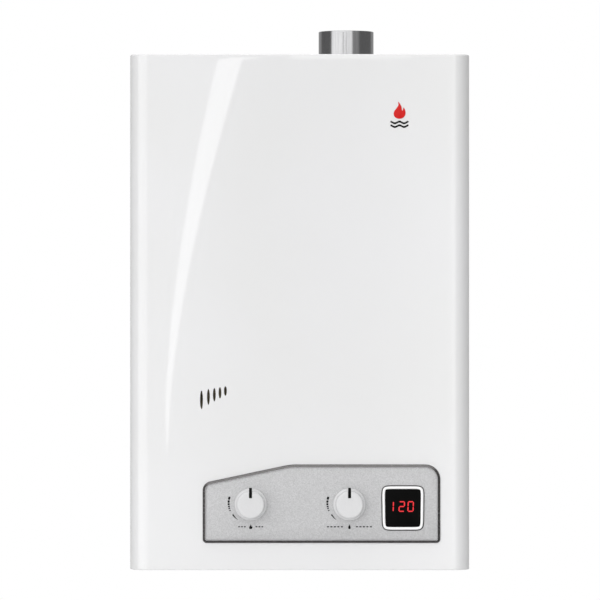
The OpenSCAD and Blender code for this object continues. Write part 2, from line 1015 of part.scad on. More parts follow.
module burner_bars() {
    first = -burner_pitch * (burner_count - 1) / 2;
    color("lightslategray")
    from_base() {
        for (i = [0 : burner_count - 1])
            translate([first + i * burner_pitch, 0, 0])
                difference() {
                    union() {
                        translate([-4.5, bar_front_y + 2, 146])
                            cube([9, bar_rear_y - bar_front_y - 4, 20]);
                        translate([-1.5, bar_front_y + 4, manifold_z])
                            cube([3, bar_rear_y - bar_front_y - 8, 25]);
                        facing(0, bar_rear_y - 6, manifold_z)
                            cylinder(r = 6, h = bar_rear_y - 6 - bar_front_y);
                    }
                    facing(0, bar_rear_y - 9, manifold_z)
                        cylinder(r = 5, h = 90);
                    for (k = [0 : 8])
                        translate([-3, bar_front_y + 6 + k * 8.6, 161])
                            cube([6, 2, 6]);
                }
        for (y = [bar_front_y + 8, bar_rear_y - 10])
            translate([-chamber_half + sheet + 0.1, y, 147])
                cube([2 * (chamber_half - sheet - 0.1), 2, 10]);
    }
}

manifold_rear_y = -140;

module gas_manifold() {
    color("silver")
    from_base() difference() {
        translate([-108, manifold_rear_y - 12, manifold_z - 7])
            cube([216, 12, 14]);
        translate([-104, manifold_rear_y - 6, manifold_z])
            rotate([0, 90, 0])
                cylinder(r = 4, h = 208);
        translate([gas_x, manifold_rear_y - 6, manifold_z - 8])
            cylinder(r = 3.9, h = 8);
        for (i = [0 : burner_count - 1])
            facing(burner_pitch * (i - (burner_count - 1) / 2), manifold_rear_y + cut, manifold_z)
                cylinder(r = 2.1, h = 7);
    }
}

module gas_injectors() {
    color("goldenrod")
    from_base() for (i = [0 : burner_count - 1])
        facing(burner_pitch * (i - (burner_count - 1) / 2), 0, manifold_z)
            difference() {
                union() {
                    translate([0, 0, -manifold_rear_y - 7])
                        hexagon_bar(7, 6.9);
                    translate([0, 0, -manifold_rear_y - 0.1])
                        cylinder(r = 2.05, h = 4);
                }
                translate([0, 0, -manifold_rear_y - 9])
                    cylinder(r = 0.7, h = 14);
            }
}

// ---- valves and pipes ----------------------------------------------------

valve_z = 44;
valve_top_z = 92;
valve_half = 22;
boss_y = -100;
boss_front_y = -120;
plug_r = 9;

// Threaded end on z = 0 and the narrower neck above it, l long in all.
thread_l = 20;
neck_r = thread_r - 0.45;

module threaded_end(l) {
    cylinder(r = thread_r, h = thread_l);
    cylinder(r = neck_r, h = l);
}

// Valve body on a threaded connection, with a plug chamber along the spindle.
module valve_body(x) {
    from_base() difference() {
        union() {
            translate([x - valve_half, -pipe_y - 25, valve_z])
                cube([2 * valve_half, 50, valve_top_z - valve_z]);
            translate([x, -pipe_y, floor_z + sheet + 0.1])
                hexagon_bar(28, valve_z - floor_z - sheet);
            translate([x, -pipe_y, thread_end_z])
                threaded_end(valve_z - thread_end_z + 1);
            facing(x, boss_y + 1, knob_z)
                cylinder(r = 11, h = boss_y + 1 - boss_front_y);
        }
        translate([x, -pipe_y, thread_end_z - cut])
            cylinder(r = 7.5, h = 46);
        translate([x, -pipe_y, 70])
            cylinder(r = pipe_r - pipe_wall, h = 40);
        facing(x, -pipe_y + 12, knob_z)
            cylinder(r = plug_r + 0.3, h = 36);
        facing(x, boss_y + 2, knob_z)
            cylinder(r = spindle_r + running, h = 30);
    }
}

module spindle(x) {
    from_base() difference() {
        union() {
            facing(x, -pipe_y + 11, knob_z)
                cylinder(r = plug_r, h = 34);
            facing(x, boss_y + 3, knob_z)
                cylinder(r = spindle_r, h = boss_y + 3 - spindle_front_y);
        }
        // Port across the plug
        translate([x, -pipe_y, knob_z - 20])
            cylinder(r = 5, h = 40);
        // Flat on the front end
        facing(x, face_y + 14, knob_z)
            translate([-5, spindle_r - 1, 0])
                cube([10, 5, 30]);
    }
}

module gas_valve() { color("silver") valve_body(gas_x); }
module water_valve() { color("goldenrod") valve_body(water_x); }
module gas_spindle() { color("goldenrod") spindle(gas_x); }
module water_spindle() { color("goldenrod") spindle(water_x); }

module gas_solenoid() {
    color("navy")
    from_base() translate([gas_x - valve_half - 0.1, -pipe_y, knob_z]) rotate([0, -90, 0]) {
        cylinder(r = 12, h = 3);
        translate([-11, -11, 3])
            cube([22, 22, 24]);
        translate([0, 0, 27])
            cylinder(r = 4, h = 4);
    }
}

gas_run_z = 105;
gas_front_y = manifold_rear_y - 6;

module gas_pipe() {
    color("silver")
    from_base() pipe([
        [gas_x, -pipe_y, valve_top_z + 0.1],
        [gas_x, -pipe_y, gas_run_z],
        [gas_x, gas_front_y, gas_run_z],
        [gas_x, gas_front_y, manifold_z - 7.1]
    ], 5, 1, 8);
}

sensor_z = 150;
sensor_h = 36;

module cold_pipe() {
    color("chocolate")
    from_base() {
        pipe([
            [water_x, -pipe_y, valve_top_z + 0.1],
            [water_x, -pipe_y, gas_run_z + 1],
            [riser_x, -pipe_y, gas_run_z + 1],
            [riser_x, -pipe_y, sensor_z + 6]
        ], pipe_r, pipe_wall, bend_r);
        pipe([
            [riser_x, -pipe_y, sensor_z + sensor_h - 6],
            [riser_x, -pipe_y, tube_z],
            [riser_x, tube_first_y, tube_z],
            [tube_end_x + 0.1, tube_first_y, tube_z]
        ], pipe_r, pipe_wall, bend_r);
    }
}

hot_rear_y = -48;

module hot_pipe() {
    color("chocolate")
    from_base() pipe([
        [-tube_end_x - 0.1, hot_rear_y, tube_z],
        [hot_x, hot_rear_y, tube_z],
        [hot_x, hot_rear_y, gas_run_z],
        [hot_x, -pipe_y, gas_run_z],
        [hot_x, -pipe_y, 60]
    ], pipe_r, pipe_wall, bend_r);
}

module hot_outlet_fitting() {
    color("goldenrod")
    from_base() translate([hot_x, -pipe_y, 0]) difference() {
        union() {
            translate([0, 0, thread_end_z])
                threaded_end(40);
            translate([0, 0, floor_z + sheet + 0.1])
                hexagon_bar(28, 8);
            translate([0, 0, 46])
                cylinder(r = 11, h = 22);
        }
        translate([0, 0, thread_end_z - cut])
            cylinder(r = pipe_r - pipe_wall, h = 80);
        translate([0, 0, 60 - fit])
            cylinder(r = pipe_r + fit, h = 20);
    }
}

module connection_nuts() {
    color("goldenrod")
    from_base() for (x = [hot_x, gas_x, water_x])
        translate([x, -pipe_y, floor_z - 6.1])
            difference() {
                hexagon_bar(27, 6);
                translate([0, 0, -cut])
                    cylinder(r = neck_r + fit, h = 8);
            }
}

module flow_sensor() {
    color("dimgray")
    from_base() translate([riser_x, -pipe_y, sensor_z]) {
        difference() {
            union() {
                cylinder(r = 12, h = sensor_h);
                translate([-8, -20, 10])
                    cube([16, 12, 14]);
            }
            translate([0, 0, -cut])
                cylinder(r = pipe_r + fit, h = 7.1);
            translate([0, 0, 4])
                cylinder(r = pipe_r - pipe_wall, h = sensor_h - 8);
            translate([0, 0, 9])
                cylinder(r = 8.5, h = sensor_h - 18);
            translate([0, 0, sensor_h - 6.1])
                cylinder(r = pipe_r + fit, h = 8);
        }
        // Pin that the turbine turns on, held by two cross bars
        translate([0, 0, 7])
            cylinder(r = 1, h = sensor_h - 14);
        for (z = [7, sensor_h - 9])
            translate([-7.5, -0.8, z])
                cube([15, 1.6, 2]);
    }
}

module flow_turbine() {
    rotor_h = 14;
    color("white")
    from_base() translate([riser_x, -pipe_y, sensor_z + sensor_h / 2 - rotor_h / 2])
        difference() {
            union() {
                cylinder(r = 2.6, h = rotor_h);
                for (i = [0 : 5])
                    rotate(i * 60)
                        translate([4.8, 0, rotor_h / 2])
                            rotate([25, 0, 0])
                                cube([6, 0.9, 11], center = true);
            }
            translate([0, 0, -cut])
                cylinder(r = 1 + running, h = rotor_h + 2 * cut);
        }
}

module relief_valve() {
    stub_x = water_x + valve_half + 0.1;
    color("goldenrod")
    from_base() difference() {
        union() {
            translate([stub_x, -pipe_y, 55])
                rotate([0, 90, 0])
                    cylinder(r = 6, h = relief_x - stub_x);
            translate([relief_x, -pipe_y, 14])
                cylinder(r = 8, h = 20);
            translate([relief_x, -pipe_y, 14])
                cylinder(r = 7.5, h = 52);
            translate([relief_x, -pipe_y, 66])
                hexagon_bar(13, 5);
        }
        translate([relief_x, -pipe_y, 14 - cut])
            cylinder(r = 4, h = 46);
    }
}

// ---- ignition and controls -----------------------------------------------

probe_front_y = -150;

module probe(x, tip) {
    from_base() {
        facing(x, -116, electrode_z)
            cylinder(r = 4, h = -116 - probe_front_y);
        translate([x - 8, chamber_front_y - 1.7, electrode_z - 7])
            difference() {
                cube([16, 1.6, 14]);
                translate([8, 3, 7])
                    rotate([90, 0, 0])
                        cylinder(r = 3.9, h = 6);
            }
        bar([[x, -117, electrode_z], [x, -96, electrode_z], [x, -96, tip]], 1.1, 4);
    }
}

module ignition_electrode() { color("ivory") probe(-electrode_x, 172); }
module flame_sensor() { color("ivory") probe(electrode_x, 180); }

igniter_x = -145;
igniter_z = 400;

module igniter_module() {
    color("black")
    from_base() {
        translate([igniter_x - 20, -75, igniter_z])
            cube([40, 45, 50]);
        for (z = [igniter_z + 10, igniter_z + 40])
            facing(igniter_x, -sheet - 0.1, z)
                cylinder(r = 4, h = 30);
    }
}

box_x = 122;
box_w = 46;
box_z = 190;
box_h = 120;
box_rear_y = -108;
box_front_y = -148;
leg_x = 164;

module control_box() {
    color("dimgray")
    from_base() difference() {
        union() {
            translate([box_x, box_front_y, box_z])
                cube([box_w, box_rear_y - box_front_y, box_h]);
            for (z = [box_z + 10, box_z + box_h - 10])
                facing(leg_x, -sheet - 0.1, z)
                    cylinder(r = 4, h = -sheet - 0.1 - box_rear_y + 1);
        }
        translate([box_x + 2, box_front_y - cut, box_z + 2])
            cube([box_w - 4, box_rear_y - box_front_y - 2 + cut, box_h - 4]);
        translate([gland_x, box_rear_y - 5, 222])
            rotate([-90, 0, 0])
                cylinder(r = 2.6, h = 10);
        translate([160, -125, box_z + box_h - 5])
            cylinder(r = 2.6, h = 10);
        translate([box_x - 5, -143, electrode_z])
            rotate([0, 90, 0])
                cylinder(r = 2.6, h = 10);
    }
}

module control_box_lid() {
    color("gray")
    from_base() {
        translate([box_x, box_front_y - 2.1, box_z])
            cube([box_w, 2, box_h]);
        translate([box_x + 2.1, box_front_y - 0.5, box_z + 2.1])
            cube([box_w - 4.2, 2, 2]);
    }
}

module control_board() {
    color("darkgreen")
    from_base() {
        for (x = [box_x + 8, box_x + box_w - 8], z = [box_z + 10, box_z + box_h - 10])
            facing(x, box_rear_y - 2.1, z)
                cylinder(r = 2.5, h = 5);
        translate([box_x + 4, box_rear_y - 8.6, box_z + 4])
            cube([box_w - 8, 1.6, box_h - 8]);
        translate([box_x + 8, box_rear_y - 30, box_z + 60])
            cube([20, 22, 24]);
        for (i = [0 : 3])
            translate([box_x + 8 + i * 8, box_rear_y - 16, box_z + 22])
                cube([6, 8, 8]);
        for (i = [0 : 2])
            facing(box_x + 12 + i * 11, box_rear_y - 8, box_z + 46)
                cylinder(r = 4, h = 14);
    }
}

switch_x = 130;
switch_z = 448;

module air_pressure_switch() {
    color("gainsboro")
    from_base() {
        facing(switch_x, -flue_y + 10, switch_z)
            cylinder(r = 24, h = 5);
        facing(switch_x, -flue_y + 5, switch_z)
            cylinder(r = 22, h = 2);
        facing(switch_x, -flue_y + 3, switch_z)
            cylinder(r = 24, h = 12);
        translate([switch_x, -flue_y, switch_z + 20])
            cylinder(r = tail_r, h = 14);
        for (s = [-1, 1])
            facing(switch_x + s * 12, -sheet - 0.1, switch_z)
                cylinder(r = 3.5, h = flue_y - 10 - sheet + 1);
    }
}

module pressure_tube() {
    color("lightgray")
    from_base() pipe([
        [fan_x + 69, -flue_y, tail_z],
        [switch_x, -flue_y, tail_z],
        [switch_x, -flue_y, switch_z + 24.6]
    ], 3, 3 - tail_r - fit, 10);
}

module overheat_thermostat() {
    color("silver")
    from_base() {
        facing(-60, chamber_front_y - 0.1, tube_z)
            cylinder(r = 9, h = 5);
        for (s = [-1, 1])
            translate([-60 + s * 4 - 0.4, chamber_front_y - 12, tube_z - 3])
                cube([0.8, 7.5, 6]);
    }
}

module outlet_temperature_sensor() {
    color("dimgray")
    from_base() difference() {
        union() {
            translate([hot_x, hot_rear_y, 240])
                cylinder(r = 10, h = 16);
            translate([hot_x - 4, hot_rear_y - 22, 242])
                cube([8, 16, 12]);
        }
        translate([hot_x, hot_rear_y, 230])
            cylinder(r = pipe_r + fit, h = 40);
    }
}

wire_r = 2.5;
wire_front_y = -155;

module wiring_harness() {
    color("black")
    from_base() {
        // Supply from the gland to the control box
        bar([[gland_x, gland_y, 66], [gland_x, gland_y, 222], [gland_x, box_rear_y + 0.1, 222]],
            wire_r, 8);
        // Control box to the fan motor
        bar([[160, -125, box_z + box_h + 0.1], [160, -125, fan_z], [fan_x + 27.2, -125, fan_z]],
            wire_r, 12);
        // Flame sensor to the control box
        bar([
            [electrode_x, probe_front_y - 0.1, electrode_z],
            [electrode_x, wire_front_y, electrode_z],
            [110, wire_front_y, electrode_z],
            [110, -143, electrode_z],
            [box_x - 0.1, -143, electrode_z]
        ], wire_r, 4);
        // Igniter to the electrode
        bar([
            [-155, -55, igniter_z - 0.1],
            [-155, -55, electrode_z],
            [-155, wire_front_y, electrode_z],
            [-electrode_x, wire_front_y, electrode_z],
            [-electrode_x, probe_front_y - 0.1, electrode_z]
        ], wire_r, 4);
    }
}

module cable_gland() {
    color("black")
    from_base() translate([gland_x, gland_y, 0]) difference() {
        union() {
            translate([0, 0, 26])
                cylinder(r = 5.5, h = floor_z - 26.1);
            translate([0, 0, 28])
                hexagon_bar(15, 6);
            translate([0, 0, 28])
                cylinder(r = 4.9, h = 32);
            translate([0, 0, floor_z + sheet + 0.1])
                hexagon_bar(14, 5);
        }
        translate([0, 0, 20])
            cylinder(r = 3, h = 60);
    }
}

front_cover();
control_panel();
panel_trim();
scale_marks();
panel_pictograms();
display_bezel();
display_lens();
display_digits();
display_board();
badge();
cover_screws();
gas_knob();
gas_knob_pointer();
temperature_knob();
temperature_knob_pointer();
back_plate();
top_panel();
bottom_panel();
flue_collar();
flue_gasket();
fan_housing();
fan_impeller();
fan_shaft();
fan_motor();
fan_bearings();
exhaust_hood();
heat_exchanger_shell();
heat_exchanger_fins();
heat_exchanger_tubes();
combustion_chamber();
viewing_window();
burner_bars();
gas_manifold();
gas_injectors();
gas_pipe();
gas_valve();
gas_solenoid();
gas_spindle();
water_valve();
water_spindle();
flow_sensor();
flow_turbine();
relief_valve();
cold_pipe();
hot_pipe();
hot_outlet_fitting();
connection_nuts();
ignition_electrode();
flame_sensor();
igniter_module();
control_box();
control_box_lid();
control_board();
air_pressure_switch();
pressure_tube();
overheat_thermostat();
outlet_temperature_sensor();
wiring_harness();
cable_gland();
chassis_screws();
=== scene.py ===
"""Wall-hung gas water heater: the finished surfaces, their finishes, the light and the camera.

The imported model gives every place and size. Pieces that show are made again here as fine
surfaces, each worked out as one numpy grid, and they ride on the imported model's bodies.
"""
import json
import math

import bmesh
import bpy
import numpy as np
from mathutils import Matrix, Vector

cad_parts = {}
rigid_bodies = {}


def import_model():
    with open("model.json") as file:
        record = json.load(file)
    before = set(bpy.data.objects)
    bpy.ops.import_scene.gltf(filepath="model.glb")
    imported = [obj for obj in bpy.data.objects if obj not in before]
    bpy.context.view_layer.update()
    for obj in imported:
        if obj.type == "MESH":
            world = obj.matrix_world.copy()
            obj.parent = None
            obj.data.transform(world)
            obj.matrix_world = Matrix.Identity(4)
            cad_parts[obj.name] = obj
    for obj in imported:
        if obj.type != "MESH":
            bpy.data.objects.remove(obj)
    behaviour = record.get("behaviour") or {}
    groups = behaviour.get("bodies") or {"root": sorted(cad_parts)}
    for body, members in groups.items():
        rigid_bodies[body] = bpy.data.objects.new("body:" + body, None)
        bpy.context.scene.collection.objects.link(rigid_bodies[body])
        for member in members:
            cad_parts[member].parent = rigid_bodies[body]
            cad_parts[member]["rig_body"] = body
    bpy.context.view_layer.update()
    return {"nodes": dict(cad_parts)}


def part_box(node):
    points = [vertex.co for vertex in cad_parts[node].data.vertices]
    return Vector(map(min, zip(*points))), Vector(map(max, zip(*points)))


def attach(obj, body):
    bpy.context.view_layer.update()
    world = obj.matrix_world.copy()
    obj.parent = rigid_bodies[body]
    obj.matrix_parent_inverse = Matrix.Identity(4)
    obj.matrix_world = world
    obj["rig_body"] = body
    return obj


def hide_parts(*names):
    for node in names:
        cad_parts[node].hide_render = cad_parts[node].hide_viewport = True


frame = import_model()

MM = 0.001

# ---- the frame's driving places, in metres ----------------------------------------------

cover_low, cover_high = (np.array(corner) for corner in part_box("front_cover"))
panel_low, panel_high = (np.array(corner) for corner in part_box("panel_trim"))
collar_low, collar_high = (np.array(corner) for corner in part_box("flue_collar"))
bezel_low, bezel_high = (np.array(corner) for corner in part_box("display_bezel"))

BASE_Z = cover_low[2]
FRONT_Y = cover_low[1]
FACE_Y = FRONT_Y - 2 * MM
CASE_RADIUS = 18 * MM
SHEET = 1 * MM
LIP = 12 * MM


def axis_of(node):
    """The middle of a node's box, which for a turned piece lies on its axis."""
    low, high = (np.array(corner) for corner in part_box(node))
    return (low + high) / 2


GAS_AXIS = axis_of("gas_spindle")
WATER_AXIS = axis_of("water_spindle")
KNOB_RADIUS = (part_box("gas_knob")[1][0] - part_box("gas_knob")[0][0]) / 2
KNOB_FRONT_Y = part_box("gas_knob")[0][1]


# ---- node helpers -----------------------------------------------------------------------

def linear(hexadecimal):
    """An sRGB hex colour as linear red, green, blue and 1: the two-part sRGB curve undone."""
    channels = [int(hexadecimal[i:i + 2], 16) / 255 for i in (1, 3, 5)]
    return [c / 12.92 if c <= 0.04045 else ((c + 0.055) / 1.055) ** 2.4 for c in channels] + [1]


def add(tree, kind, links=None, **settings):
    """One node, with its settings by attribute or by socket name, and its links by socket."""
    made = tree.nodes.new(kind)
    for name, value in settings.items():
        if hasattr(made, name):
            setattr(made, name, value)
        else:
            made.inputs[name.replace("_", " ")].default_value = value
    for socket, source in (links or {}).items():
        tree.links.new(source, made.inputs[socket])
    return made


def start_material(name, **surface):
    """A new material with one Principled surface, and the tree's Object coordinates."""
    material = bpy.data.materials.new(name)
    material.use_nodes = True
    tree = material.node_tree
    shader = tree.nodes["Principled BSDF"]
    for socket, value in surface.items():
        shader.inputs[socket.replace("_", " ")].default_value = value
    place = add(tree, "ShaderNodeTexCoord").outputs["Object"]
    return material, tree, shader, place


def two_tones(tree, source, low, high, tone_a, tone_b):
    """Colour that goes from tone_a to tone_b as source goes from low to high."""
    ramp = add(tree, "ShaderNodeValToRGB", {"Fac": source})
    ramp.color_ramp.elements[0].position = low
    ramp.color_ramp.elements[0].color = linear(tone_a)
    ramp.color_ramp.elements[1].position = high
    ramp.color_ramp.elements[1].color = linear(tone_b)
    return ramp.outputs["Color"]


def between(tree, source, low, high):
    """A value from low to high as source goes from 0 to 1."""
    return add(tree, "ShaderNodeMapRange", {"Value": source}, To_Min=low, To_Max=high).outputs[0]


def raise_surface(tree, shader, height, distance, strength):
    """Bump of the given real depth in metres, from a height of 0 to 1."""
    bump = add(tree, "ShaderNodeBump", {"Height": height}, Distance=distance, Strength=strength)
    tree.links.new(bump.outputs["Normal"], shader.inputs["Normal"])


def noise(tree, place, size_mm, detail=3, stretch=None):
    """Noise whose features are size_mm across, drawn out along an axis by stretch."""
    if stretch:
        place = add(tree, "ShaderNodeMapping", {"Vector": place}, Scale=stretch).outputs[0]
    made = add(tree, "ShaderNodeTexNoise", {"Vector": place}, Scale=1000 / size_mm, Detail=detail)
    return made.outputs[0]


def colour_by(tree, shader, source, tone_a, tone_b, low=0.3, high=0.7):
    """Base colour from tone_a to tone_b as source goes from low to high."""
    tree.links.new(two_tones(tree, source, low, high, tone_a, tone_b), shader.inputs["Base Color"])


def roughness_by(tree, shader, source, low, high):
    """Roughness from low to high as source goes from 0 to 1."""
    tree.links.new(between(tree, source, low, high), shader.inputs["Roughness"])


# ---- materials --------------------------------------------------------------------------

def white_enamel():
    """Fired powder enamel on sheet steel: cold white, glossy, with a faint orange peel."""
    material, tree, shader, place = start_material("white_enamel", IOR=1.6)
    cloud = noise(tree, place, 160, 1)
    colour_by(tree, shader, cloud, "#E6E6E6", "#E8E8E9")
    roughness_by(tree, shader, noise(tree, place, 40), 0.015, 0.03)
    # Orange peel is about 2 mm across and a few micrometres deep
    raise_surface(tree, shader, noise(tree, place, 2.2, 1), 0.002 * MM, 0.2)
    return material


def silver_film():
    """Silver-painted ABS: fine metallic grain, so it glitters softly and stays matt."""
    material, tree, shader, place = start_material("silver_paint", Metallic=0.25, IOR=1.46)
    # Real flake is 0.05 mm; it is drawn at 0.8 mm so that the grain shows
    flake = noise(tree, place, 0.8, 2)
    colour_by(tree, shader, flake, "#AEAEAF", "#CACACB")
    roughness_by(tree, shader, flake, 0.34, 0.48)
    raise_surface(tree, shader, flake, 0.01 * MM, 0.3)
    return material


def dark_metal_trim():
    """Grey hot-foil on moulded ABS: a dark mirror-like bevel round the panel."""
    material, tree, shader, place = start_material("dark_foil", Metallic=0.85)
    streak = noise(tree, place, 3, 2, stretch=(0.2, 1, 1))
    colour_by(tree, shader, streak, "#6A6868", "#706E6E")
    roughness_by(tree, shader, streak, 0.25, 0.29)
    return material


def black_ink():
    """Screen-printed black ink: nearly flat, its edge a little grainy."""
    material, tree, shader, place = start_material("black_ink", IOR=1.45)
    grain = noise(tree, place, 0.3)
    colour_by(tree, shader, grain, "#030303", "#090909")
    roughness_by(tree, shader, grain, 0.4, 0.55)
    shader.inputs["Specular IOR Level"].default_value = 0.2
    return material


def collar_steel():
    """Bright-rolled stainless of the flue collar: long soft reflections, faint roll lines."""
    material, tree, shader, place = start_material("rolled_stainless", Metallic=1.0)
    lines = noise(tree, place, 1.2, 2, stretch=(1, 1, 0.05))
    colour_by(tree, shader, lines, "#A6A6A7", "#B0B0B1")
    roughness_by(tree, shader, lines, 0.13, 0.18)
    return material


def knob_plastic():
    """Moulded white ABS with a spark-eroded satin skin."""
    material, tree, shader, place = start_material("knob_abs", IOR=1.5)
    skin = noise(tree, place, 0.4, 2)
    colour_by(tree, shader, skin, "#D3D3D4", "#D9D9DA")
    roughness_by(tree, shader, skin, 0.28, 0.36)
    raise_surface(tree, shader, skin, 0.01 * MM, 0.3)
    return material


def gloss_white_plastic():
    """Polished white ABS of the display's frame."""
    material, tree, shader, place = start_material("gloss_abs", IOR=1.5)
    cloud = noise(tree, place, 12)
    colour_by(tree, shader, cloud, "#F6F6F6", "#FBFBFB")
    roughness_by(tree, shader, cloud, 0.12, 0.18)
    return material


def smoked_lens():
    """Smoked acrylic: near black with a polished face."""
    material, tree, shader, place = start_material("smoked_acrylic", IOR=1.49)
    cloud = noise(tree, place, 9)
    colour_by(tree, shader, cloud, "#040404", "#060606")
    roughness_by(tree, shader, cloud, 0.22, 0.30)
    shader.inputs["Specular IOR Level"].default_value = 0.04
    return material


def lit_segment():
    """A lit red diode segment: even light, its tint varying faintly at random."""
    material, tree, shader, place = start_material("red_light", Roughness=0.5)
    glow = noise(tree, place, 2, 1)
    tone = two_tones(tree, glow, 0.3, 0.7, "#FF3E44", "#FF474C")
    tree.links.new(tone, shader.inputs["Emission Color"])
    shader.inputs["Emission Strength"].default_value = 1.0
    shader.inputs["Base Color"].default_value = linear("#300404")
    shader.inputs["Specular IOR Level"].default_value = 0.0
    return material


def enamel_ink(name, dark, light):
    """Coloured enamel ink, printed thick enough to shine."""
    material, tree, shader, place = start_material(name, IOR=1.48)
    grain = noise(tree, place, 0.8)
    colour_by(tree, shader, grain, dark, light)
    roughness_by(tree, shader, grain, 0.2, 0.3)
    shader.inputs["Specular IOR Level"].default_value = 0.2
    return material


def galvanised_steel():
    """Hot-dip zinc: flat grey crystals about 8 mm across, each with its own sheen."""
    material, tree, shader, place = start_material("hot_dip_zinc", Metallic=1.0)
    spangle = add(tree, "ShaderNodeTexVoronoi", {"Vector": place}, Scale=1000 / 8)
    colour_by(tree, shader, spangle.outputs["Color"], "#A9ADB0", "#C6C9CB", 0.1, 0.9)
    roughness_by(tree, shader, spangle.outputs["Color"], 0.28, 0.46)
    raise_surface(tree, shader, noise(tree, place, 1.5), 0.005 * MM, 0.4)
    return material


def heated_stainless():
    """Rolled stainless steel near a flame: fine rolling lines and straw-brown heat tint."""
    material, tree, shader, place = start_material("heated_stainless", Metallic=1.0)
    tint = noise(tree, place, 60)
    colour_by(tree, shader, tint, "#B9B7B4", "#A8906E", 0.35, 0.75)
    lines = noise(tree, place, 0.6, 2, stretch=(1, 1, 0.04))
    roughness_by(tree, shader, lines, 0.24, 0.40)
    raise_surface(tree, shader, lines, 0.004 * MM, 0.4)
    return material


def drawn_copper():
    """Drawn copper tube and fin stock: salmon metal dulled by brown oxide in patches."""
    material, tree, shader, place = start_material("drawn_copper", Metallic=1.0)
    oxide = noise(tree, place, 22, 5)
    colour_by(tree, shader, oxide, "#C97F5E", "#8A5238", 0.35, 0.72)
    roughness_by(tree, shader, oxide, 0.22, 0.42)
    return material


def turned_brass():
    """Hot-pressed and turned brass: yellow metal with fine tool rings and dull hollows."""
    material, tree, shader, place = start_material("turned_brass", Metallic=1.0)
    patina = noise(tree, place, 9, 4)
    colour_by(tree, shader, patina, "#C9A45C", "#A07C3C", 0.35, 0.75)
    rings = noise(tree, place, 0.5, 2, stretch=(0.1, 0.1, 1))
    roughness_by(tree, shader, rings, 0.22, 0.38)
    raise_surface(tree, shader, rings, 0.006 * MM, 0.5)
    return material


def cast_aluminium():
    """Sand-blasted die casting: pale grey with a 0.7 mm grain and no sharp reflection."""
    material, tree, shader, place = start_material("cast_aluminium", Metallic=0.9)
    grain = noise(tree, place, 0.7, 4)
    colour_by(tree, shader, grain, "#9C9C9D", "#B2B2B3")
    roughness_by(tree, shader, grain, 0.42, 0.6)
    raise_surface(tree, shader, grain, 0.04 * MM, 0.5)
    return material


def zinc_plate():
    """Bright zinc plating on screws and small tubes."""
    material, tree, shader, place = start_material("zinc_plate", Metallic=1.0)
    grain = noise(tree, place, 1.2)
    colour_by(tree, shader, grain, "#BDBFB9", "#CFD0CB")
    roughness_by(tree, shader, grain, 0.2, 0.34)
    return material


def moulded_plastic(name, dark, light, grain_mm=0.8, specular=0.5):
    """Moulded engineering plastic with a fine spark-eroded grain."""
    material, tree, shader, place = start_material(name, IOR=1.5, Specular_IOR_Level=specular)
    grain = noise(tree, place, grain_mm, 3)
    colour_by(tree, shader, grain, dark, light)
    roughness_by(tree, shader, grain, 0.42, 0.56)
    raise_surface(tree, shader, grain, 0.02 * MM, 0.4)
    return material


def circuit_laminate():
    """Solder-masked glass laminate: green, with paler copper tracks 1 mm wide under it."""
    material, tree, shader, place = start_material("circuit_laminate", IOR=1.5)
    track = add(tree, "ShaderNodeTexBrick", {"Vector": place}, Scale=1000 / 7,
                Mortar_Size=0.09, Mortar_Smooth=0.0, Brick_Width=1.7, Row_Height=0.4)
    track.inputs["Color1"].default_value = linear("#0C4A22")
    track.inputs["Color2"].default_value = linear("#0E5226")
    track.inputs["Mortar"].default_value = linear("#2D7A3C")
    tree.links.new(track.outputs["Color"], shader.inputs["Base Color"])
    roughness_by(tree, shader, track.outputs["Fac"], 0.3, 0.22)
    return material


def mica_pane():
    """Split mica: amber, half clear, with cloudy flakes inside."""
    material, tree, shader, place = start_material("split_mica", IOR=1.56, Alpha=0.55)
    flake = noise(tree, place, 5, 4)
    colour_by(tree, shader, flake, "#A8946A", "#D8CBA6")
    roughness_by(tree, shader, flake, 0.12, 0.3)
    return material


def glazed_ceramic():
    """Glazed alumina of the spark and flame rods."""
    material, tree, shader, place = start_material("glazed_alumina", IOR=1.6)
    speck = noise(tree, place, 1.5, 4)
    colour_by(tree, shader, speck, "#E5E0D2", "#F2EEE4")
    roughness_by(tree, shader, speck, 0.15, 0.25)
    return material


def fibre_board():
    """Pressed mineral fibre: dark, matt, with 1 mm fibres."""
    material, tree, shader, place = start_material("pressed_fibre", Roughness=0.9)
    fibre = noise(tree, place, 1, 5, stretch=(1, 0.2, 1))
    colour_by(tree, shader, fibre, "#3A3936", "#55534E")
    raise_surface(tree, shader, fibre, 0.1 * MM, 0.6)
    return material


def silicone():
    """Milky silicone hose: soft, slightly see-through at its skin."""
    material, tree, shader, place = start_material("milky_silicone", IOR=1.41)
    cloud = noise(tree, place, 6)
    colour_by(tree, shader, cloud, "#CFCBC2", "#DFDCD4")
    roughness_by(tree, shader, cloud, 0.3, 0.4)
    shader.inputs["Subsurface Weight"].default_value = 0.15
    shader.inputs["Subsurface Scale"].default_value = 1 * MM
    return material


ENAMEL = white_enamel()
SILVER = silver_film()
TRIM = dark_metal_trim()
INK = black_ink()
POINTER = moulded_plastic("pointer_nylon", "#020202", "#040404", specular=0.12)
KNOB = knob_plastic()
GLOSS_WHITE = gloss_white_plastic()
LENS = smoked_lens()
LIT = lit_segment()
RED_INK = enamel_ink("red_ink", "#CB1512", "#D31A16")
ZINC = galvanised_steel()
STAINLESS = heated_stainless()
COLLAR = collar_steel()
COPPER = drawn_copper()
BRASS = turned_brass()
CASTING = cast_aluminium()
PLATED = zinc_plate()
BLACK_PLASTIC = moulded_plastic("black_nylon", "#101011", "#1C1C1D")
GREY_PLASTIC = moulded_plastic("grey_polycarbonate", "#55585C", "#64676B")
WHITE_NYLON = moulded_plastic("white_nylon", "#DAD8D0", "#E8E6DF", 1.5)
BOARD = circuit_laminate()
MICA = mica_pane()
CERAMIC = glazed_ceramic()
FIBRE = fibre_board()
HOSE = silicone()


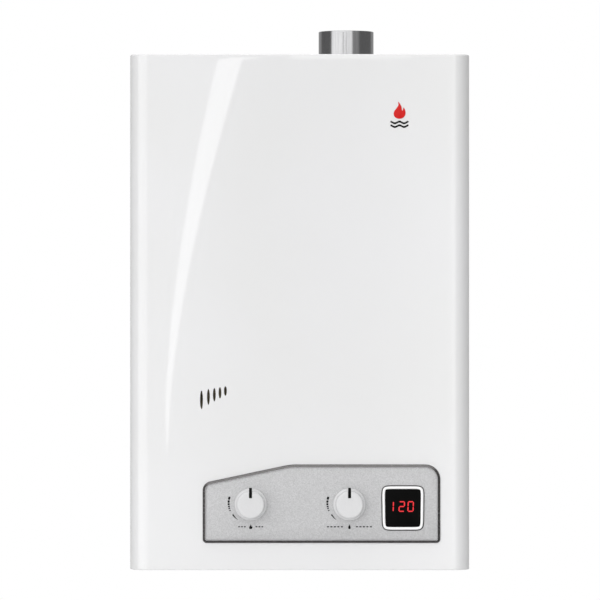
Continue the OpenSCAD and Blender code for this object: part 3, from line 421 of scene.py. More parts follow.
# ---- mesh helpers -----------------------------------------------------------------------

def placed(name, data):
    """A new object in the scene, unturned at the origin."""
    made = bpy.data.objects.new(name, data)
    bpy.context.scene.collection.objects.link(made)
    return made


def piece(name, vertices, faces, material, body, slot, replaced=(), sharp=35):
    """A named piece from vertices in metres, smooth except across edges over sharp degrees."""
    mesh = bpy.data.meshes.new(name)
    mesh.from_pydata(np.asarray(vertices).tolist(), [], faces)
    made = placed(name, mesh)
    shell = bmesh.new()
    shell.from_mesh(mesh)
    bmesh.ops.remove_doubles(shell, verts=shell.verts, dist=1e-7)
    bmesh.ops.dissolve_degenerate(shell, edges=shell.edges, dist=1e-8)
    bmesh.ops.recalc_face_normals(shell, faces=shell.faces)
    shell.to_mesh(mesh)
    shell.free()
    smooth(mesh, sharp)
    mesh.materials.append(material)
    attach(made, body)
    if replaced:
        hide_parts(*replaced)
    return made


def smooth(mesh, sharp):
    mesh.polygons.foreach_set("use_smooth", np.ones(len(mesh.polygons), bool))
    mesh.set_sharp_from_angle(angle=math.radians(sharp))
    mesh.update()


def grid_faces(rows, columns, closed_rows, closed_columns, first=0):
    """Quads of a rows by columns grid of points, wrapped round where a direction is closed."""
    r = np.arange(rows if closed_rows else rows - 1)
    c = np.arange(columns if closed_columns else columns - 1)
    r, c = (side.ravel() for side in np.meshgrid(r, c, indexing="ij"))
    next_r = (r + 1) % rows
    next_c = (c + 1) % columns
    quads = np.stack([r * columns + c, r * columns + next_c,
                      next_r * columns + next_c, next_r * columns + c], axis=1)
    return (quads + first).tolist()


def join(parts):
    """Several (vertices, faces) pairs as one."""
    vertices, faces, first = [], [], 0
    for points, quads in parts:
        vertices.append(np.asarray(points).reshape(-1, 3))
        faces += [[i + first for i in face] for face in quads]
        first += len(vertices[-1])
    return np.concatenate(vertices), faces


def turned(profile, centre, axis, steps=96, closed=False):
    """A profile of (radius, height) pairs turned once round an axis through centre."""
    axis = np.array(axis, float)
    side = np.array([1.0, 0, 0]) if abs(axis[0]) < 0.5 else np.array([0, 1.0, 0])
    other = np.cross(axis, side)
    angle = np.linspace(0, 2 * math.pi, steps, endpoint=False)
    radius, height = np.array(profile, float).T
    ring = np.cos(angle)[:, None] * side + np.sin(angle)[:, None] * other
    points = (np.array(centre) + radius[:, None, None] * ring[None]
              + height[:, None, None] * axis)
    return points.reshape(-1, 3), grid_faces(len(profile), steps, closed, True)


def rounded(corners, radii, steps=10):
    """A straight-sided outline with an arc of the given radius at each corner."""
    corners = np.array(corners, float)
    arcs = []
    for i, radius in enumerate(radii):
        u = corners[i - 1] - corners[i]
        v = corners[(i + 1) % len(corners)] - corners[i]
        u /= np.linalg.norm(u)
        v /= np.linalg.norm(v)
        half = math.acos(float(u @ v)) / 2
        centre = corners[i] + (u + v) / np.linalg.norm(u + v) * radius / math.sin(half)
        start = corners[i] + u * radius / math.tan(half) - centre
        end = corners[i] + v * radius / math.tan(half) - centre
        turn = math.atan2(start[0] * end[1] - start[1] * end[0], float(start @ end))
        angle = math.atan2(start[1], start[0]) + np.linspace(0, turn, steps)
        arcs.append(centre + radius * np.stack([np.cos(angle), np.sin(angle)], axis=1))
    return np.concatenate(arcs)


def inset(outline, by):
    """An outline moved inwards: each point slides along the mean of its two edge normals."""
    before = outline - np.roll(outline, 1, axis=0)
    after = np.roll(outline, -1, axis=0) - outline
    area = np.sum(outline[:, 0] * np.roll(outline[:, 1], -1)
                  - outline[:, 1] * np.roll(outline[:, 0], -1))
    inward = np.sign(area)
    normals = [inward * np.stack([-edge[:, 1], edge[:, 0]], axis=1)
               / np.maximum(np.linalg.norm(edge, axis=1, keepdims=True), 1e-9)
               for edge in (before, after)]
    total = normals[0] + normals[1]
    return outline + by * 2 * total / np.maximum(np.sum(total ** 2, axis=1, keepdims=True), 0.5)


def pressed(outline, profile, back_y, closed=False):
    """An outline in x and z carried towards the front along a profile of (inset, height)
    pairs, as a plate with flat back and front, or as a ring where the profile is closed."""
    rings = []
    for depth, height in profile:
        ring = inset(outline, depth)
        rings.append(np.stack([ring[:, 0], np.full(len(ring), back_y - height), ring[:, 1]],
                              axis=1))
    count = len(outline)
    faces = grid_faces(len(profile), count, closed, True)
    if not closed:
        faces.append(list(range(count))[::-1])
        faces.append([(len(profile) - 1) * count + i for i in range(count)])
    return np.concatenate(rings), faces


def soft_edge(radius, height, steps=4):
    """Profile of a plate's side that ends in a quarter-round edge of the given radius."""
    angle = np.linspace(0, math.pi / 2, steps + 1)
    return ([(0, 0)] + [(radius * (1 - math.cos(a)), height - radius * (1 - math.sin(a)))
                        for a in angle])


def cut_away(target, cutters):
    """Cuts closed shapes out of a piece for good."""
    vertices, faces = join(cutters)
    mesh = bpy.data.meshes.new("cutter")
    mesh.from_pydata(vertices.tolist(), [], faces)
    tool = placed("cutter", mesh)
    shell = bmesh.new()
    shell.from_mesh(mesh)
    bmesh.ops.recalc_face_normals(shell, faces=shell.faces)
    shell.to_mesh(mesh)
    shell.free()
    change = target.modifiers.new("cut", "BOOLEAN")
    change.operation = "DIFFERENCE"
    change.solver = "EXACT"
    change.object = tool
    view = bpy.context.evaluated_depsgraph_get()
    made = bpy.data.meshes.new_from_object(target.evaluated_get(view))
    target.modifiers.remove(change)
    old = target.data
    target.data = made
    made.name = old.name
    bpy.data.objects.remove(tool)
    return target


def round_edges(target, width, segments=2, angle=40):
    """A live bevel along every edge sharper than angle degrees."""
    bevel = target.modifiers.new("edges", "BEVEL")
    bevel.width = width
    bevel.segments = segments
    bevel.limit_method = "ANGLE"
    bevel.angle_limit = math.radians(angle)
    bevel.harden_normals = False
    return target


def prism(outline, low_y, high_y):
    """A closed straight prism along Y, used as a cutter."""
    count = len(outline)
    ends = [np.stack([outline[:, 0], np.full(count, y), outline[:, 1]], axis=1)
            for y in (low_y, high_y)]
    faces = grid_faces(2, count, False, True)
    faces += [list(range(count))[::-1], list(range(count, 2 * count))]
    return np.concatenate(ends), faces


def oval(x, z, half_w, half_h, steps=48):
    angle = np.linspace(0, 2 * math.pi, steps, endpoint=False)
    return np.stack([x + half_w * np.cos(angle), z + half_h * np.sin(angle)], axis=1)


# ---- case -------------------------------------------------------------------------------

TOP_BEND = 1.6 * MM
FOOT_BEND = 1.1 * MM
HALF_W = cover_high[0]
CASE_TOP = cover_high[2]
CASE_BACK = cover_high[1]


def wrap_path(depth):
    """The case's plan line, depth inside its face: left side, round corner, front, round
    corner, right side. Short steps beside each corner keep the flat faces flat."""
    radius = CASE_RADIUS - depth
    centre_x = HALF_W - CASE_RADIUS
    centre_y = FRONT_Y + CASE_RADIUS
    angle = np.linspace(0, math.pi / 2, 25)
    straight = centre_y + (CASE_BACK - centre_y) * np.array([1, 0.5, 0.02])
    side = np.stack([np.full(3, centre_x + radius), straight], axis=1)
    arc = np.stack([centre_x + radius * np.cos(angle), centre_y - radius * np.sin(angle)], axis=1)
    flat_x = centre_x * np.array([0.985, 0.5])
    flat = np.stack([flat_x, np.full(2, centre_y - radius)], axis=1)
    right = np.concatenate([side, arc, flat])
    left = right[::-1] * np.array([-1, 1])
    return np.concatenate([right, left])[::-1]


def lip_and_bend(bend, edge_z, up):
    """Half of the section, from the lip's free edge round a quarter bend to the face, as an
    outer and an inner line of (depth, z). up is 1 for the top and -1 for the foot."""
    angle = np.linspace(0, math.pi / 2, 7)
    lines = []
    for radius, skin in ((bend, 0), (bend - SHEET, SHEET)):
        turn = np.stack([skin + radius * (1 - np.sin(angle)),
                         edge_z - up * (skin + radius * (1 - np.cos(angle)))], axis=1)
        lines.append(np.concatenate([[(LIP, edge_z - up * skin)], turn,
                                     [(skin, edge_z - up * 6 * MM)]]))
    return lines


def case_section():
    """The sheet's upright section as two lines of (depth, z): the face with its two turned
    lips, and the same line one sheet thickness inside it."""
    top = lip_and_bend(TOP_BEND, CASE_TOP, 1)
    foot = lip_and_bend(FOOT_BEND, BASE_Z, -1)
    return [np.concatenate([upper, lower[::-1]]) for upper, lower in zip(top, foot)]


def case_cover():
    """The case's white wrap: the section carried round the plan line, its open ends closed."""
    outer, inner = case_section()
    section = np.concatenate([outer, inner[::-1]])
    rings = [np.column_stack([wrap_path(depth), np.full(len(wrap_path(0)), z)])
             for depth, z in section]
    rows, columns = len(section), len(rings[0])
    faces = grid_faces(rows, columns, True, True)
    faces = [f for f in faces if not {0, columns - 1} <= {i % columns for i in f}]
    for i in range(len(outer) - 1):
        for end in (0, columns - 1):
            ring = [i, i + 1, rows - 2 - i, rows - 1 - i]
            faces.append([r * columns + end for r in ring])
    return piece("case_cover", np.concatenate(rings), faces, ENAMEL, "cover", "white_enamel",
                 ["front_cover"])


SLOT_X = -101.6 * MM
SLOT_PITCH = 7.15 * MM
SLOT_W = 2.9 * MM
SLOT_Z = BASE_Z + 176.2 * MM


def viewing_slots():
    """Five upright ovals, each shorter, closer and a little higher than the one before."""
    slots = []
    for i in range(5):
        height = 19 * MM * 0.845 ** i
        middle = SLOT_Z + 3.1 * MM * i ** 0.78
        slots.append(oval(SLOT_X + SLOT_PITCH * i ** 0.895, middle, SLOT_W / 2, height / 2))
    return slots


cover = case_cover()
COVER_HOLE_RADIUS = 9 * MM
PANEL_HOLE_RADIUS = 8 * MM
window_x, window_z = axis_of("display_lens")[0], axis_of("display_lens")[2]
display_hole = np.array([window_x, window_z]) + np.array(
    [[-16, -11], [16, -11], [16, 11], [-16, 11]]) * MM
cover_cutters = [prism(slot, FRONT_Y - SHEET, FRONT_Y + 2 * SHEET) for slot in viewing_slots()]
cover_cutters += [prism(oval(axis[0], axis[2], COVER_HOLE_RADIUS, COVER_HOLE_RADIUS),
                        FRONT_Y - SHEET, FRONT_Y + 2 * SHEET) for axis in (GAS_AXIS, WATER_AXIS)]
cover_cutters.append(prism(display_hole, FRONT_Y - SHEET, FRONT_Y + 2 * SHEET))
cut_away(cover, cover_cutters)
smooth(cover.data, 35)
round_edges(cover, 0.3 * MM)


def cover_tabs():
    """Two welded tabs behind the front that the cover's screws pass through."""
    parts = []
    for x in (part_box("cover_screws")[0][0] + 4 * MM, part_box("cover_screws")[1][0] - 4 * MM):
        plan = rounded(np.array([[-10, 0.9], [10, 0.9], [10, 13], [-10, 13]]) * MM,
                       np.array([0.5, 0.5, 3, 3]) * MM, 6)
        rings = []
        for z in (35.6, 36.6):
            rings.append(np.column_stack([plan[:, 0] + x, plan[:, 1] + FRONT_Y,
                                          np.full(len(plan), BASE_Z + z * MM)]))
        faces = grid_faces(2, len(plan), False, True)
        faces += [list(range(len(plan)))[::-1], list(range(len(plan), 2 * len(plan)))]
        parts.append((np.concatenate(rings), faces))
    return piece("cover_tabs", *join(parts), ENAMEL, "cover", "white_enamel")


cover_tabs()


# ---- control panel ----------------------------------------------------------------------

def panel_outline():
    """The panel's outline: a rectangle whose top edge slopes down to the left."""
    left, right = panel_low[0], panel_high[0]
    bottom, top = panel_low[2], panel_high[2]
    left_top = top - 19.2 * MM
    bend_x = left + (top - left_top) / math.tan(math.radians(12))
    corners = [(left, bottom), (right, bottom), (right, top), (bend_x, top), (left, left_top)]
    return rounded(corners, np.array([4.2, 4.2, 15.5, 60, 9.5]) * MM, 14)


PANEL = panel_outline()
TRIM_W = 3.3 * MM

panel = piece("panel_face", *pressed(inset(PANEL, TRIM_W + 0.05 * MM),
                                     soft_edge(0.3 * MM, 2 * MM), FRONT_Y),
              SILVER, "cover", "silver_panel", ["control_panel"])
knob_holes = [prism(oval(axis[0], axis[2], PANEL_HOLE_RADIUS, PANEL_HOLE_RADIUS),
                    FACE_Y - MM, FRONT_Y + MM) for axis in (GAS_AXIS, WATER_AXIS)]
cut_away(panel, knob_holes + [prism(display_hole, FACE_Y - MM, FRONT_Y + MM)])
smooth(panel.data, 35)

# The trim rises from a thin outer edge in one long bevel to a lip by the face. The lip is its own ring
# in the light silver panel finish, so its light colour is a painted highlight along the trim's inner
# edge
bevel_profile = np.array([(0, 0), (0, 0.6), (0.15, 0.9), (2.3, 2.55), (2.6, 2.7), (2.8, 2.7),
                          (2.8, 0)]) * MM
piece("panel_trim_ring", *pressed(PANEL, bevel_profile, FRONT_Y, closed=True), TRIM, "cover",
      "dark_trim", ["panel_trim"])
# The lip's shape is the trim's inner edge; its light silver colour is a painted highlight on it
highlight_lip_profile = np.array([(2.82, 0), (2.82, 2.8), (2.9, 2.93), (3.15, 2.93), (3.3, 2.75),
                        (3.3, 0)]) * MM
piece("panel_trim_highlight_lip", *pressed(PANEL, highlight_lip_profile, FRONT_Y, closed=True), SILVER, "cover",
      "silver_panel")


# ---- knobs ------------------------------------------------------------------------------

PRINT = 0.15 * MM


def arc_points(centre, radius, start, end, steps):
    """Points of an arc from start to end degrees, about (radius, height) centre."""
    angle = np.radians(np.linspace(start, end, steps))
    return np.stack([centre[0] + radius * np.cos(angle), centre[1] + radius * np.sin(angle)],
                    axis=1)


def knob_profile():
    """A knob's half section from the hub's bore round the skirt and cone to the face."""
    r = KNOB_RADIUS
    top = 14 * MM
    skirt = 2.6 * MM
    face_r = 13.3 * MM
    return np.concatenate([
        [(3.3 * MM, -12.6 * MM), (6 * MM, -12.6 * MM), (6 * MM, 0), (r - 0.3 * MM, 0)],
        arc_points((r - 0.3 * MM, 0.3 * MM), 0.3 * MM, -90, 0, 4),
        arc_points((r - 0.6 * MM, skirt - 0.6 * MM), 0.6 * MM, 0, 80, 6),
        arc_points((r - 1.4 * MM, skirt + 0.8 * MM), 0.8 * MM, 270, 190, 6),
        [(face_r + 0.9 * MM, top - 2.2 * MM)],
        arc_points((face_r - 0.9 * MM, top - 1.8 * MM), 1.8 * MM, 8, 90, 8),
        [(9 * MM, top + 0.0 * MM), (5 * MM, top - 0.05 * MM), (0, top - 0.05 * MM)],
    ])


def knob(name, centre, body, replaced):
    """One knob: its section turned about the spindle's axis, with a deep blind bore."""
    bore = np.array([(0, -1 * MM), (3.3 * MM, -1 * MM)])
    section = np.concatenate([bore, knob_profile()])
    base = (centre[0], KNOB_FRONT_Y + 14 * MM, centre[2])
    made = piece(name, *turned(section, base, (0, -1, 0), 128), KNOB, body, "knob_white", [replaced],
                 sharp=50)
    slot = rounded(np.array([[-1.6, 7], [1.6, 7], [1.6, 20], [-1.6, 20]]) * MM,
                   np.array([0.4, 0.4, 0.4, 0.4]) * MM, 4) + np.array([centre[0], centre[2]])
    cut_away(made, [prism(slot, KNOB_FRONT_Y - MM, KNOB_FRONT_Y + MM)])
    smooth(made.data, 50)
    return made


def pointer(name, centre, body, replaced):
    """The black bar let into a knob's face, from near its middle to past its rim."""
    outline = rounded(np.array([[-1.5, 7.1], [1.5, 7.1], [1.5, 17.7], [-1.5, 17.7]]) * MM,
                      np.array([0.5, 0.5, 0.7, 0.7]) * MM, 6) + np.array([centre[0], centre[2]])
    return piece(name, *pressed(outline, soft_edge(0.25 * MM, 1.25 * MM), KNOB_FRONT_Y + 0.95 * MM),
                 POINTER, body, "black_print", [replaced])


knob("gas_knob_cap", GAS_AXIS, "gas_control", "gas_knob")
knob("temperature_knob_cap", WATER_AXIS, "temperature_control", "temperature_knob")
pointer("gas_pointer_bar", GAS_AXIS, "gas_control", "gas_knob_pointer")
pointer("temperature_pointer_bar", WATER_AXIS, "temperature_control", "temperature_knob_pointer")


def turned_about(outline, centre, degrees):
    """An outline turned counter-clockwise about a point."""
    a = math.radians(degrees)
    turn = np.array([[math.cos(a), math.sin(a)], [-math.sin(a), math.cos(a)]])
    return outline @ turn + np.array(centre)


def printed(name, outlines, back_y, material, slot, replaced=(), thickness=PRINT):
    """Flat printed shapes of one thickness, their edges slightly rounded."""
    shapes = [pressed(outline, soft_edge(0.04 * MM, thickness, 2), back_y) for outline in outlines]
    return piece(name, *join(shapes), material, "cover", slot, replaced)


def scale_outlines(centre):
    """Six shrinking dots and a thinning tail on an arc of about 23 mm, left of a knob."""
    shapes = []
    for i, degrees in enumerate([74, 82.8, 89.7, 95.8, 100.8, 106.6]):
        w, h, r = 1.55 * 0.78 ** i, 1.1 - 0.04 * i, 23.1 - 0.15 * i
        dot = rounded(np.array([[-w, r - h], [w, r - h], [w, r + h], [-w, r + h]]) * MM,
                      np.full(4, 0.3 * w * MM), 4)
        shapes.append(turned_about(dot, centre, degrees))
    angle = np.radians(np.linspace(119, 139, 24))
    along = np.linspace(0, 1, 24)
    round_start = np.clip(along / 0.06, 0, 1) ** 0.5
    middle = 21.35 - 0.45 * along
    half = (0.8 - 0.62 * along) * round_start
    ray = np.stack([-np.sin(angle), np.cos(angle)], axis=1)
    outside = ((middle + half) * MM)[:, None] * ray
    inside = ((middle - half - 0.02) * MM)[:, None] * ray
    shapes.append(np.concatenate([outside, inside[::-1]]) + np.array(centre))
    return shapes


marks = scale_outlines((GAS_AXIS[0], GAS_AXIS[2])) + scale_outlines((WATER_AXIS[0], WATER_AXIS[2]))
printed("scale_print", marks, FACE_Y, INK, "black_print", ["scale_marks"])


# ---- signs ------------------------------------------------------------------------------

def smooth_loop(points, steps=8):
    """A closed curve through the points: on each span the cubic that keeps, at both of its
    ends, the direction between the neighbours on either side."""
    points = np.array(points, float)
    before, after, beyond = (np.roll(points, by, axis=0) for by in (1, -1, -2))
    t = np.linspace(0, 1, steps, endpoint=False)[None, :, None]
    a, b, c, d = (side[:, None] for side in (before, points, after, beyond))
    curve = 0.5 * (2 * b + (c - a) * t + (2 * a - 5 * b + 4 * c - d) * t ** 2
                   + (3 * b - a - 3 * c + d) * t ** 3)
    return curve.reshape(-1, 2)


def flame(x, z, height):
    """A flame one unit high: a round belly, a tall tip that leans left and a low side tip."""
    shape = smooth_loop([(0.0, 0.0), (0.2, 0.05), (0.33, 0.2), (0.36, 0.38), (0.31, 0.56),
                         (0.24, 0.66), (0.2, 0.52), (0.15, 0.5), (0.12, 0.7), (0.03, 0.88),
                         (-0.08, 1.0), (-0.06, 0.84), (-0.13, 0.68), (-0.27, 0.5),
                         (-0.34, 0.32), (-0.3, 0.14), (-0.18, 0.04)])
    return shape * height + np.array([x, z])


def drop(x, z, height):
    """A water drop: a round foot drawn up to a point."""
    t = np.linspace(0, 2 * math.pi, 48, endpoint=False)
    up = (1 - np.cos(t)) / 2
    wide = 0.36 * np.sin(t) * (1 - up) ** 0.7
    return np.stack([x + height * wide, z + height * up], axis=1)


def dash(x, z, width, height):
    corners = np.array([[-width, -height], [width, -height], [width, height], [-width, height]]) / 2
    return rounded(corners + np.array([x, z]), np.full(4, height * 0.3), 4)


SIGN_Z = BASE_Z + 45 * MM
signs = [flame(GAS_AXIS[0], SIGN_Z - 2.4 * MM, 5 * MM), drop(WATER_AXIS[0], SIGN_Z - 2.4 * MM, 5 * MM)]
for side in (-1, 1):
    signs += [dash(GAS_AXIS[0] + side * (9 + 3 * k) * MM, SIGN_Z, 1.8 * MM, 1.2 * MM)
              for k in (-1, 0, 1)]
    signs += [dash(WATER_AXIS[0] + side * (15 + 3.6 * k) * MM, SIGN_Z, 2.2 * MM, 1.2 * MM)
              for k in (-2, -1, 0, 1, 2)]
printed("panel_signs", signs, FACE_Y, INK, "black_print", ["panel_pictograms"])

BADGE_X, BADGE_Z = axis_of("badge")[0], axis_of("badge")[2]
printed("badge_flame", [flame(BADGE_X, BADGE_Z - 4.4 * MM, 17.6 * MM)], FRONT_Y, RED_INK, "badge_red",
        ["badge"], 0.3 * MM)


def wave(x, z, half_w, thick):
    """A bar of even thickness along one cosine wave, with half-round ends."""
    along = np.linspace(-half_w, half_w, 48)
    swell = 0.9 * MM * np.cos(along / half_w * 2 * math.pi)
    to_end = np.clip((half_w - np.abs(along)) / (thick / 2), 0, 1)
    half = thick / 2 * np.sqrt(1 - (1 - to_end) ** 2)
    lower = np.stack([x + along, z + swell - half], axis=1)
    upper = np.stack([x + along, z + swell + half], axis=1)
    return np.concatenate([lower, upper[::-1][1:-1]])


printed("badge_waves", [wave(BADGE_X, BADGE_Z - 8.2 * MM, 9.5 * MM, 2 * MM),
                        wave(BADGE_X, BADGE_Z - 12 * MM, 9.5 * MM, 2 * MM)],
        FRONT_Y, INK, "black_print", thickness=0.3 * MM)


# ---- display ----------------------------------------------------------------------------

def window_outline(grow=0.0):
    """A square with slightly swelling sides, a little narrower at its foot."""
    half_w = (bezel_high[0] - bezel_low[0]) / 2 - 0.2 * MM
    half_h = (bezel_high[2] - bezel_low[2]) / 2 - 0.9 * MM
    t = np.linspace(0, 2 * math.pi, 160, endpoint=False)
    power = 2 / 7.5
    x = half_w * np.sign(np.cos(t)) * np.abs(np.cos(t)) ** power
    z = half_h * np.sign(np.sin(t)) * np.abs(np.sin(t)) ** power
    x *= 0.985 + 0.015 * z / half_h
    centre = np.array([axis_of("display_bezel")[0], axis_of("display_bezel")[2]])
    scale = 1 + grow / half_w
    return np.stack([x, z], axis=1) * scale + centre


WINDOW = window_outline()
RIM_W = 3.75 * MM
# A thin dark gasket line, then the white rim with a round crown
gasket_profile = np.array([(0, 0), (0, 0.5), (0.15, 0.7), (1.0, 0.7), (1.0, 0)]) * MM
piece("display_gasket", *pressed(WINDOW, gasket_profile, FACE_Y, closed=True), BLACK_PLASTIC,
      "cover", "black_plastic")
crown = np.linspace(0, math.pi, 13)
rim_profile = np.concatenate([[(1.02 * MM, 0)],
                              np.stack([1.02 * MM + 1.36 * MM * (1 - np.cos(crown)),
                                        1.0 * MM + 0.95 * MM * np.sin(crown)], axis=1),
                              [(3.74 * MM, 0)]])
piece("display_rim", *pressed(WINDOW, rim_profile, FACE_Y, closed=True), GLOSS_WHITE, "cover",
      "bezel_white", ["display_bezel"])
piece("display_window", *pressed(inset(WINDOW, RIM_W + 0.02 * MM), soft_edge(0.4 * MM, 1.2 * MM),
                                 FACE_Y), LENS, "cover", "display_black", ["display_lens"])

DIGIT_W = 6.5 * MM
DIGIT_H = 11 * MM
STROKE = 1.15 * MM


def segment(x, z, length, upright):
    """One six-sided segment bar with pointed ends."""
    half = length / 2
    s = STROKE / 2
    bar = np.array([[-half, 0], [-half + s, -s], [half - s, -s], [half, 0], [half - s, s],
                    [-half + s, s]])
    if upright:
        bar = bar[:, ::-1] * np.array([-1, 1])
    return bar + np.array([x, z])


def digit(centre, lit):
    """A seven-segment digit, leaning 2 degrees; lit names its segments a to g."""
    w = (DIGIT_W - STROKE) / 2
    h = (DIGIT_H - STROKE) / 2
    places = {"a": (0, h, 0), "b": (w, h / 2, 1), "c": (w, -h / 2, 1), "d": (0, -h, 0),
              "e": (-w, -h / 2, 1), "f": (-w, h / 2, 1), "g": (0, 0, 0)}
    shapes = []
    for name in lit:
        x, z, upright = places[name]
        length = h - 0.25 * MM if upright else 2 * w - 0.25 * MM
        bar = segment(x, z, length, upright)
        bar[:, 0] += bar[:, 1] * math.tan(math.radians(2))
        shapes.append(bar + np.array(centre))
    return shapes


lit_z = window_z + 1.6 * MM
digits = (digit((window_x - 12.6 * MM, lit_z), "bc") + digit((window_x - 1.2 * MM, lit_z), "abged")
          + digit((window_x + 8.0 * MM, lit_z), "abcdef"))
printed("display_figures", digits, FACE_Y - 1.2 * MM, LIT, "digit_red", ["display_digits"],
        0.12 * MM)


# ---- flue collar ------------------------------------------------------------------------

def flue_pipe():
    """The collar: a flange, a slightly wider foot, a straight tube and a rounded rim, all turned about
    the flue's axis."""
    top, base = collar_high[2], collar_low[2]
    outer, foot, flange, wall = 29 * MM, 29.4 * MM, 42.5 * MM, 0.9 * MM
    shoulder = CASE_TOP + 0.5 * MM
    rim = arc_points((outer - wall / 2, top - wall / 2), wall / 2, 0, 180, 9)
    section = np.concatenate([
        [(outer - wall, base), (flange, base), (flange, base + 1.4 * MM),
         (foot, base + 1.4 * MM), (foot, shoulder - 0.4 * MM), (outer, shoulder),
         (outer, shoulder + 1 * MM), (outer, top - 2 * MM)],
        rim,
        [(outer - wall, top - 2 * MM), (outer - wall, shoulder)],
    ])
    centre = ((collar_low[0] + collar_high[0]) / 2, (collar_low[1] + collar_high[1]) / 2, 0)
    return piece("flue_pipe", *turned(section, centre, (0, 0, 1), 160, closed=True), COLLAR,
                 "chassis", "stainless", ["flue_collar"])


flue_pipe()


# ---- threads on the pipe connections ----------------------------------------------------

PIPE_Y = -75 * MM


def thread(name, node, material, slot):
    """Half-inch taper-free thread: a ring section swept along a helix of 1.81 mm pitch."""
    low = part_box(node)[0]
    x = axis_of(node)[0]
    pitch = 1.81 * MM
    turns = 10
    steps = 48
    angle = np.linspace(0, 2 * math.pi * turns, turns * steps)
    root, crest = 10.5, 11.15
    section = np.array([(root, -0.75), (crest, -0.1), (crest, 0.1), (root, 0.75)]) * MM
    fade = np.clip(np.minimum(angle, angle[::-1]) / math.pi, 0, 1)
    radius = root * MM + (section[:, 0][None] - root * MM) * fade[:, None]
    z = low[2] + 1 * MM + pitch * angle[:, None] / (2 * math.pi) + section[:, 1][None]
    points = np.stack([x + radius * np.cos(angle)[:, None],
                       PIPE_Y + radius * np.sin(angle)[:, None], z], axis=2)
    faces = grid_faces(len(angle), len(section), False, True)
    return piece(name, points.reshape(-1, 3), faces, material, "chassis", slot, sharp=20)


thread("gas_thread", "gas_valve", CASTING, "cast_aluminium")
thread("cold_thread", "water_valve", BRASS, "brass")
thread("hot_thread", "hot_outlet_fitting", BRASS, "brass")


# ---- everything inside ------------------------------------------------------------------

def bench_finish(node, material, edge=0.25):
    """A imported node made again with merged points, rounded edges and its finish."""
    source = frame["nodes"][node]
    mesh = source.data.copy()
    mesh.name = node + "_finished"
    mesh.materials.clear()
    mesh.materials.append(material)
    shell = bmesh.new()
    shell.from_mesh(mesh)
    bmesh.ops.remove_doubles(shell, verts=shell.verts, dist=1e-6)
    bmesh.ops.dissolve_degenerate(shell, edges=shell.edges, dist=1e-7)
    bmesh.ops.dissolve_limit(shell, angle_limit=math.radians(1), verts=shell.verts,
                             edges=shell.edges)
    shell.to_mesh(mesh)
    shell.free()
    smooth(mesh, 32)
    made = placed(node + "_finished", mesh)
    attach(made, source["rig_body"])
    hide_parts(node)
    if edge:
        round_edges(made, edge * MM, 1, 50)
    return made


FINISHES = [
    (ZINC, 0.2, ["back_plate", "bottom_panel", "exhaust_hood", "fan_housing"]),
    (ENAMEL, 0.2, ["top_panel"]),
    (STAINLESS, 0.15, ["fan_impeller", "fan_shaft", "combustion_chamber", "burner_bars",
                       "overheat_thermostat"]),
    (COPPER, 0.1, ["heat_exchanger_shell", "heat_exchanger_tubes", "cold_pipe", "hot_pipe"]),
    (COPPER, 0, ["heat_exchanger_fins"]),
    (BRASS, 0.3, ["water_valve", "gas_spindle", "water_spindle", "relief_valve",
                  "hot_outlet_fitting", "connection_nuts", "gas_injectors", "fan_bearings"]),
    (CASTING, 0.4, ["gas_valve", "gas_manifold", "air_pressure_switch"]),
    (PLATED, 0.15, ["cover_screws", "chassis_screws", "gas_pipe"]),
    (GREY_PLASTIC, 0.5, ["fan_motor", "control_box", "control_box_lid", "gas_solenoid",
                         "outlet_temperature_sensor"]),
    (BLACK_PLASTIC, 0.4, ["igniter_module", "cable_gland", "wiring_harness", "flow_sensor"]),
    (WHITE_NYLON, 0.15, ["flow_turbine"]),
    (BOARD, 0.2, ["display_board", "control_board"]),
    (MICA, 0.1, ["viewing_window"]),
    (CERAMIC, 0.2, ["ignition_electrode", "flame_sensor"]),
    (FIBRE, 0.1, ["flue_gasket"]),
    (HOSE, 0, ["pressure_tube"]),
]
for material, edge, nodes in FINISHES:
    for node in nodes:
        bench_finish(node, material, edge)


# ---- camera, light and floor ------------------------------------------------------------

# The camera is level, and VIEW_WIDTH is what it sees across the case's front
CAMERA_DISTANCE = 4.2
CAMERA_X = 0.3 * MM
CAMERA_Z = 12.5 * MM
VIEW_WIDTH = 620.76 * MM
SENSOR_WIDTH = 36
camera_data = bpy.data.cameras.new("camera")
camera_data.sensor_width = SENSOR_WIDTH
camera_data.lens = SENSOR_WIDTH * CAMERA_DISTANCE / VIEW_WIDTH
camera_data.clip_end = 50
camera = placed("camera", camera_data)
camera.location = (CAMERA_X, FRONT_Y - CAMERA_DISTANCE, CAMERA_Z)
camera.rotation_euler = (math.pi / 2, 0, 0)
bpy.context.scene.camera = camera


def calculate(tree, operation, first, second=None):
    """One step of arithmetic on sockets or numbers."""
    made = add(tree, "ShaderNodeMath", operation=operation)
    for socket, value in zip(made.inputs, (first, second)):
        if isinstance(value, (int, float)):
            socket.default_value = value
        elif value is not None:
            tree.links.new(value, socket)
    return made.outputs[0]


def window(tree, value, low, high, soft):
    """1 between low and high, falling smoothly to 0 over soft outside them."""
    rise = add(tree, "ShaderNodeMapRange", {"Value": value}, interpolation_type="SMOOTHSTEP",
               From_Min=low - soft, From_Max=low)
    fall = add(tree, "ShaderNodeMapRange", {"Value": value}, interpolation_type="SMOOTHSTEP",
               From_Min=high, From_Max=high + soft, To_Min=1.0, To_Max=0.0)
    return calculate(tree, "MULTIPLY", rise.outputs[0], fall.outputs[0])


# Softboxes as (level, from and to in degrees right of the front, their softness,
# from and to in degrees above the horizon, their softness)
SOFTBOXES = [
    (1.4, -62, -5, 5, -10, 30, 10),
    (1.2, 3.4, 24, 3, -10, 30, 10),
    (1.15, -181, 181, 1, 52, 91, 15),
    (0.24, -56, 50, 10, -91, 91, 1),
    (0.24, 135, 181, 15, -91, 91, 1),
    (0.24, -181, -135, 15, -91, 91, 1),
]
TENT = 0.21


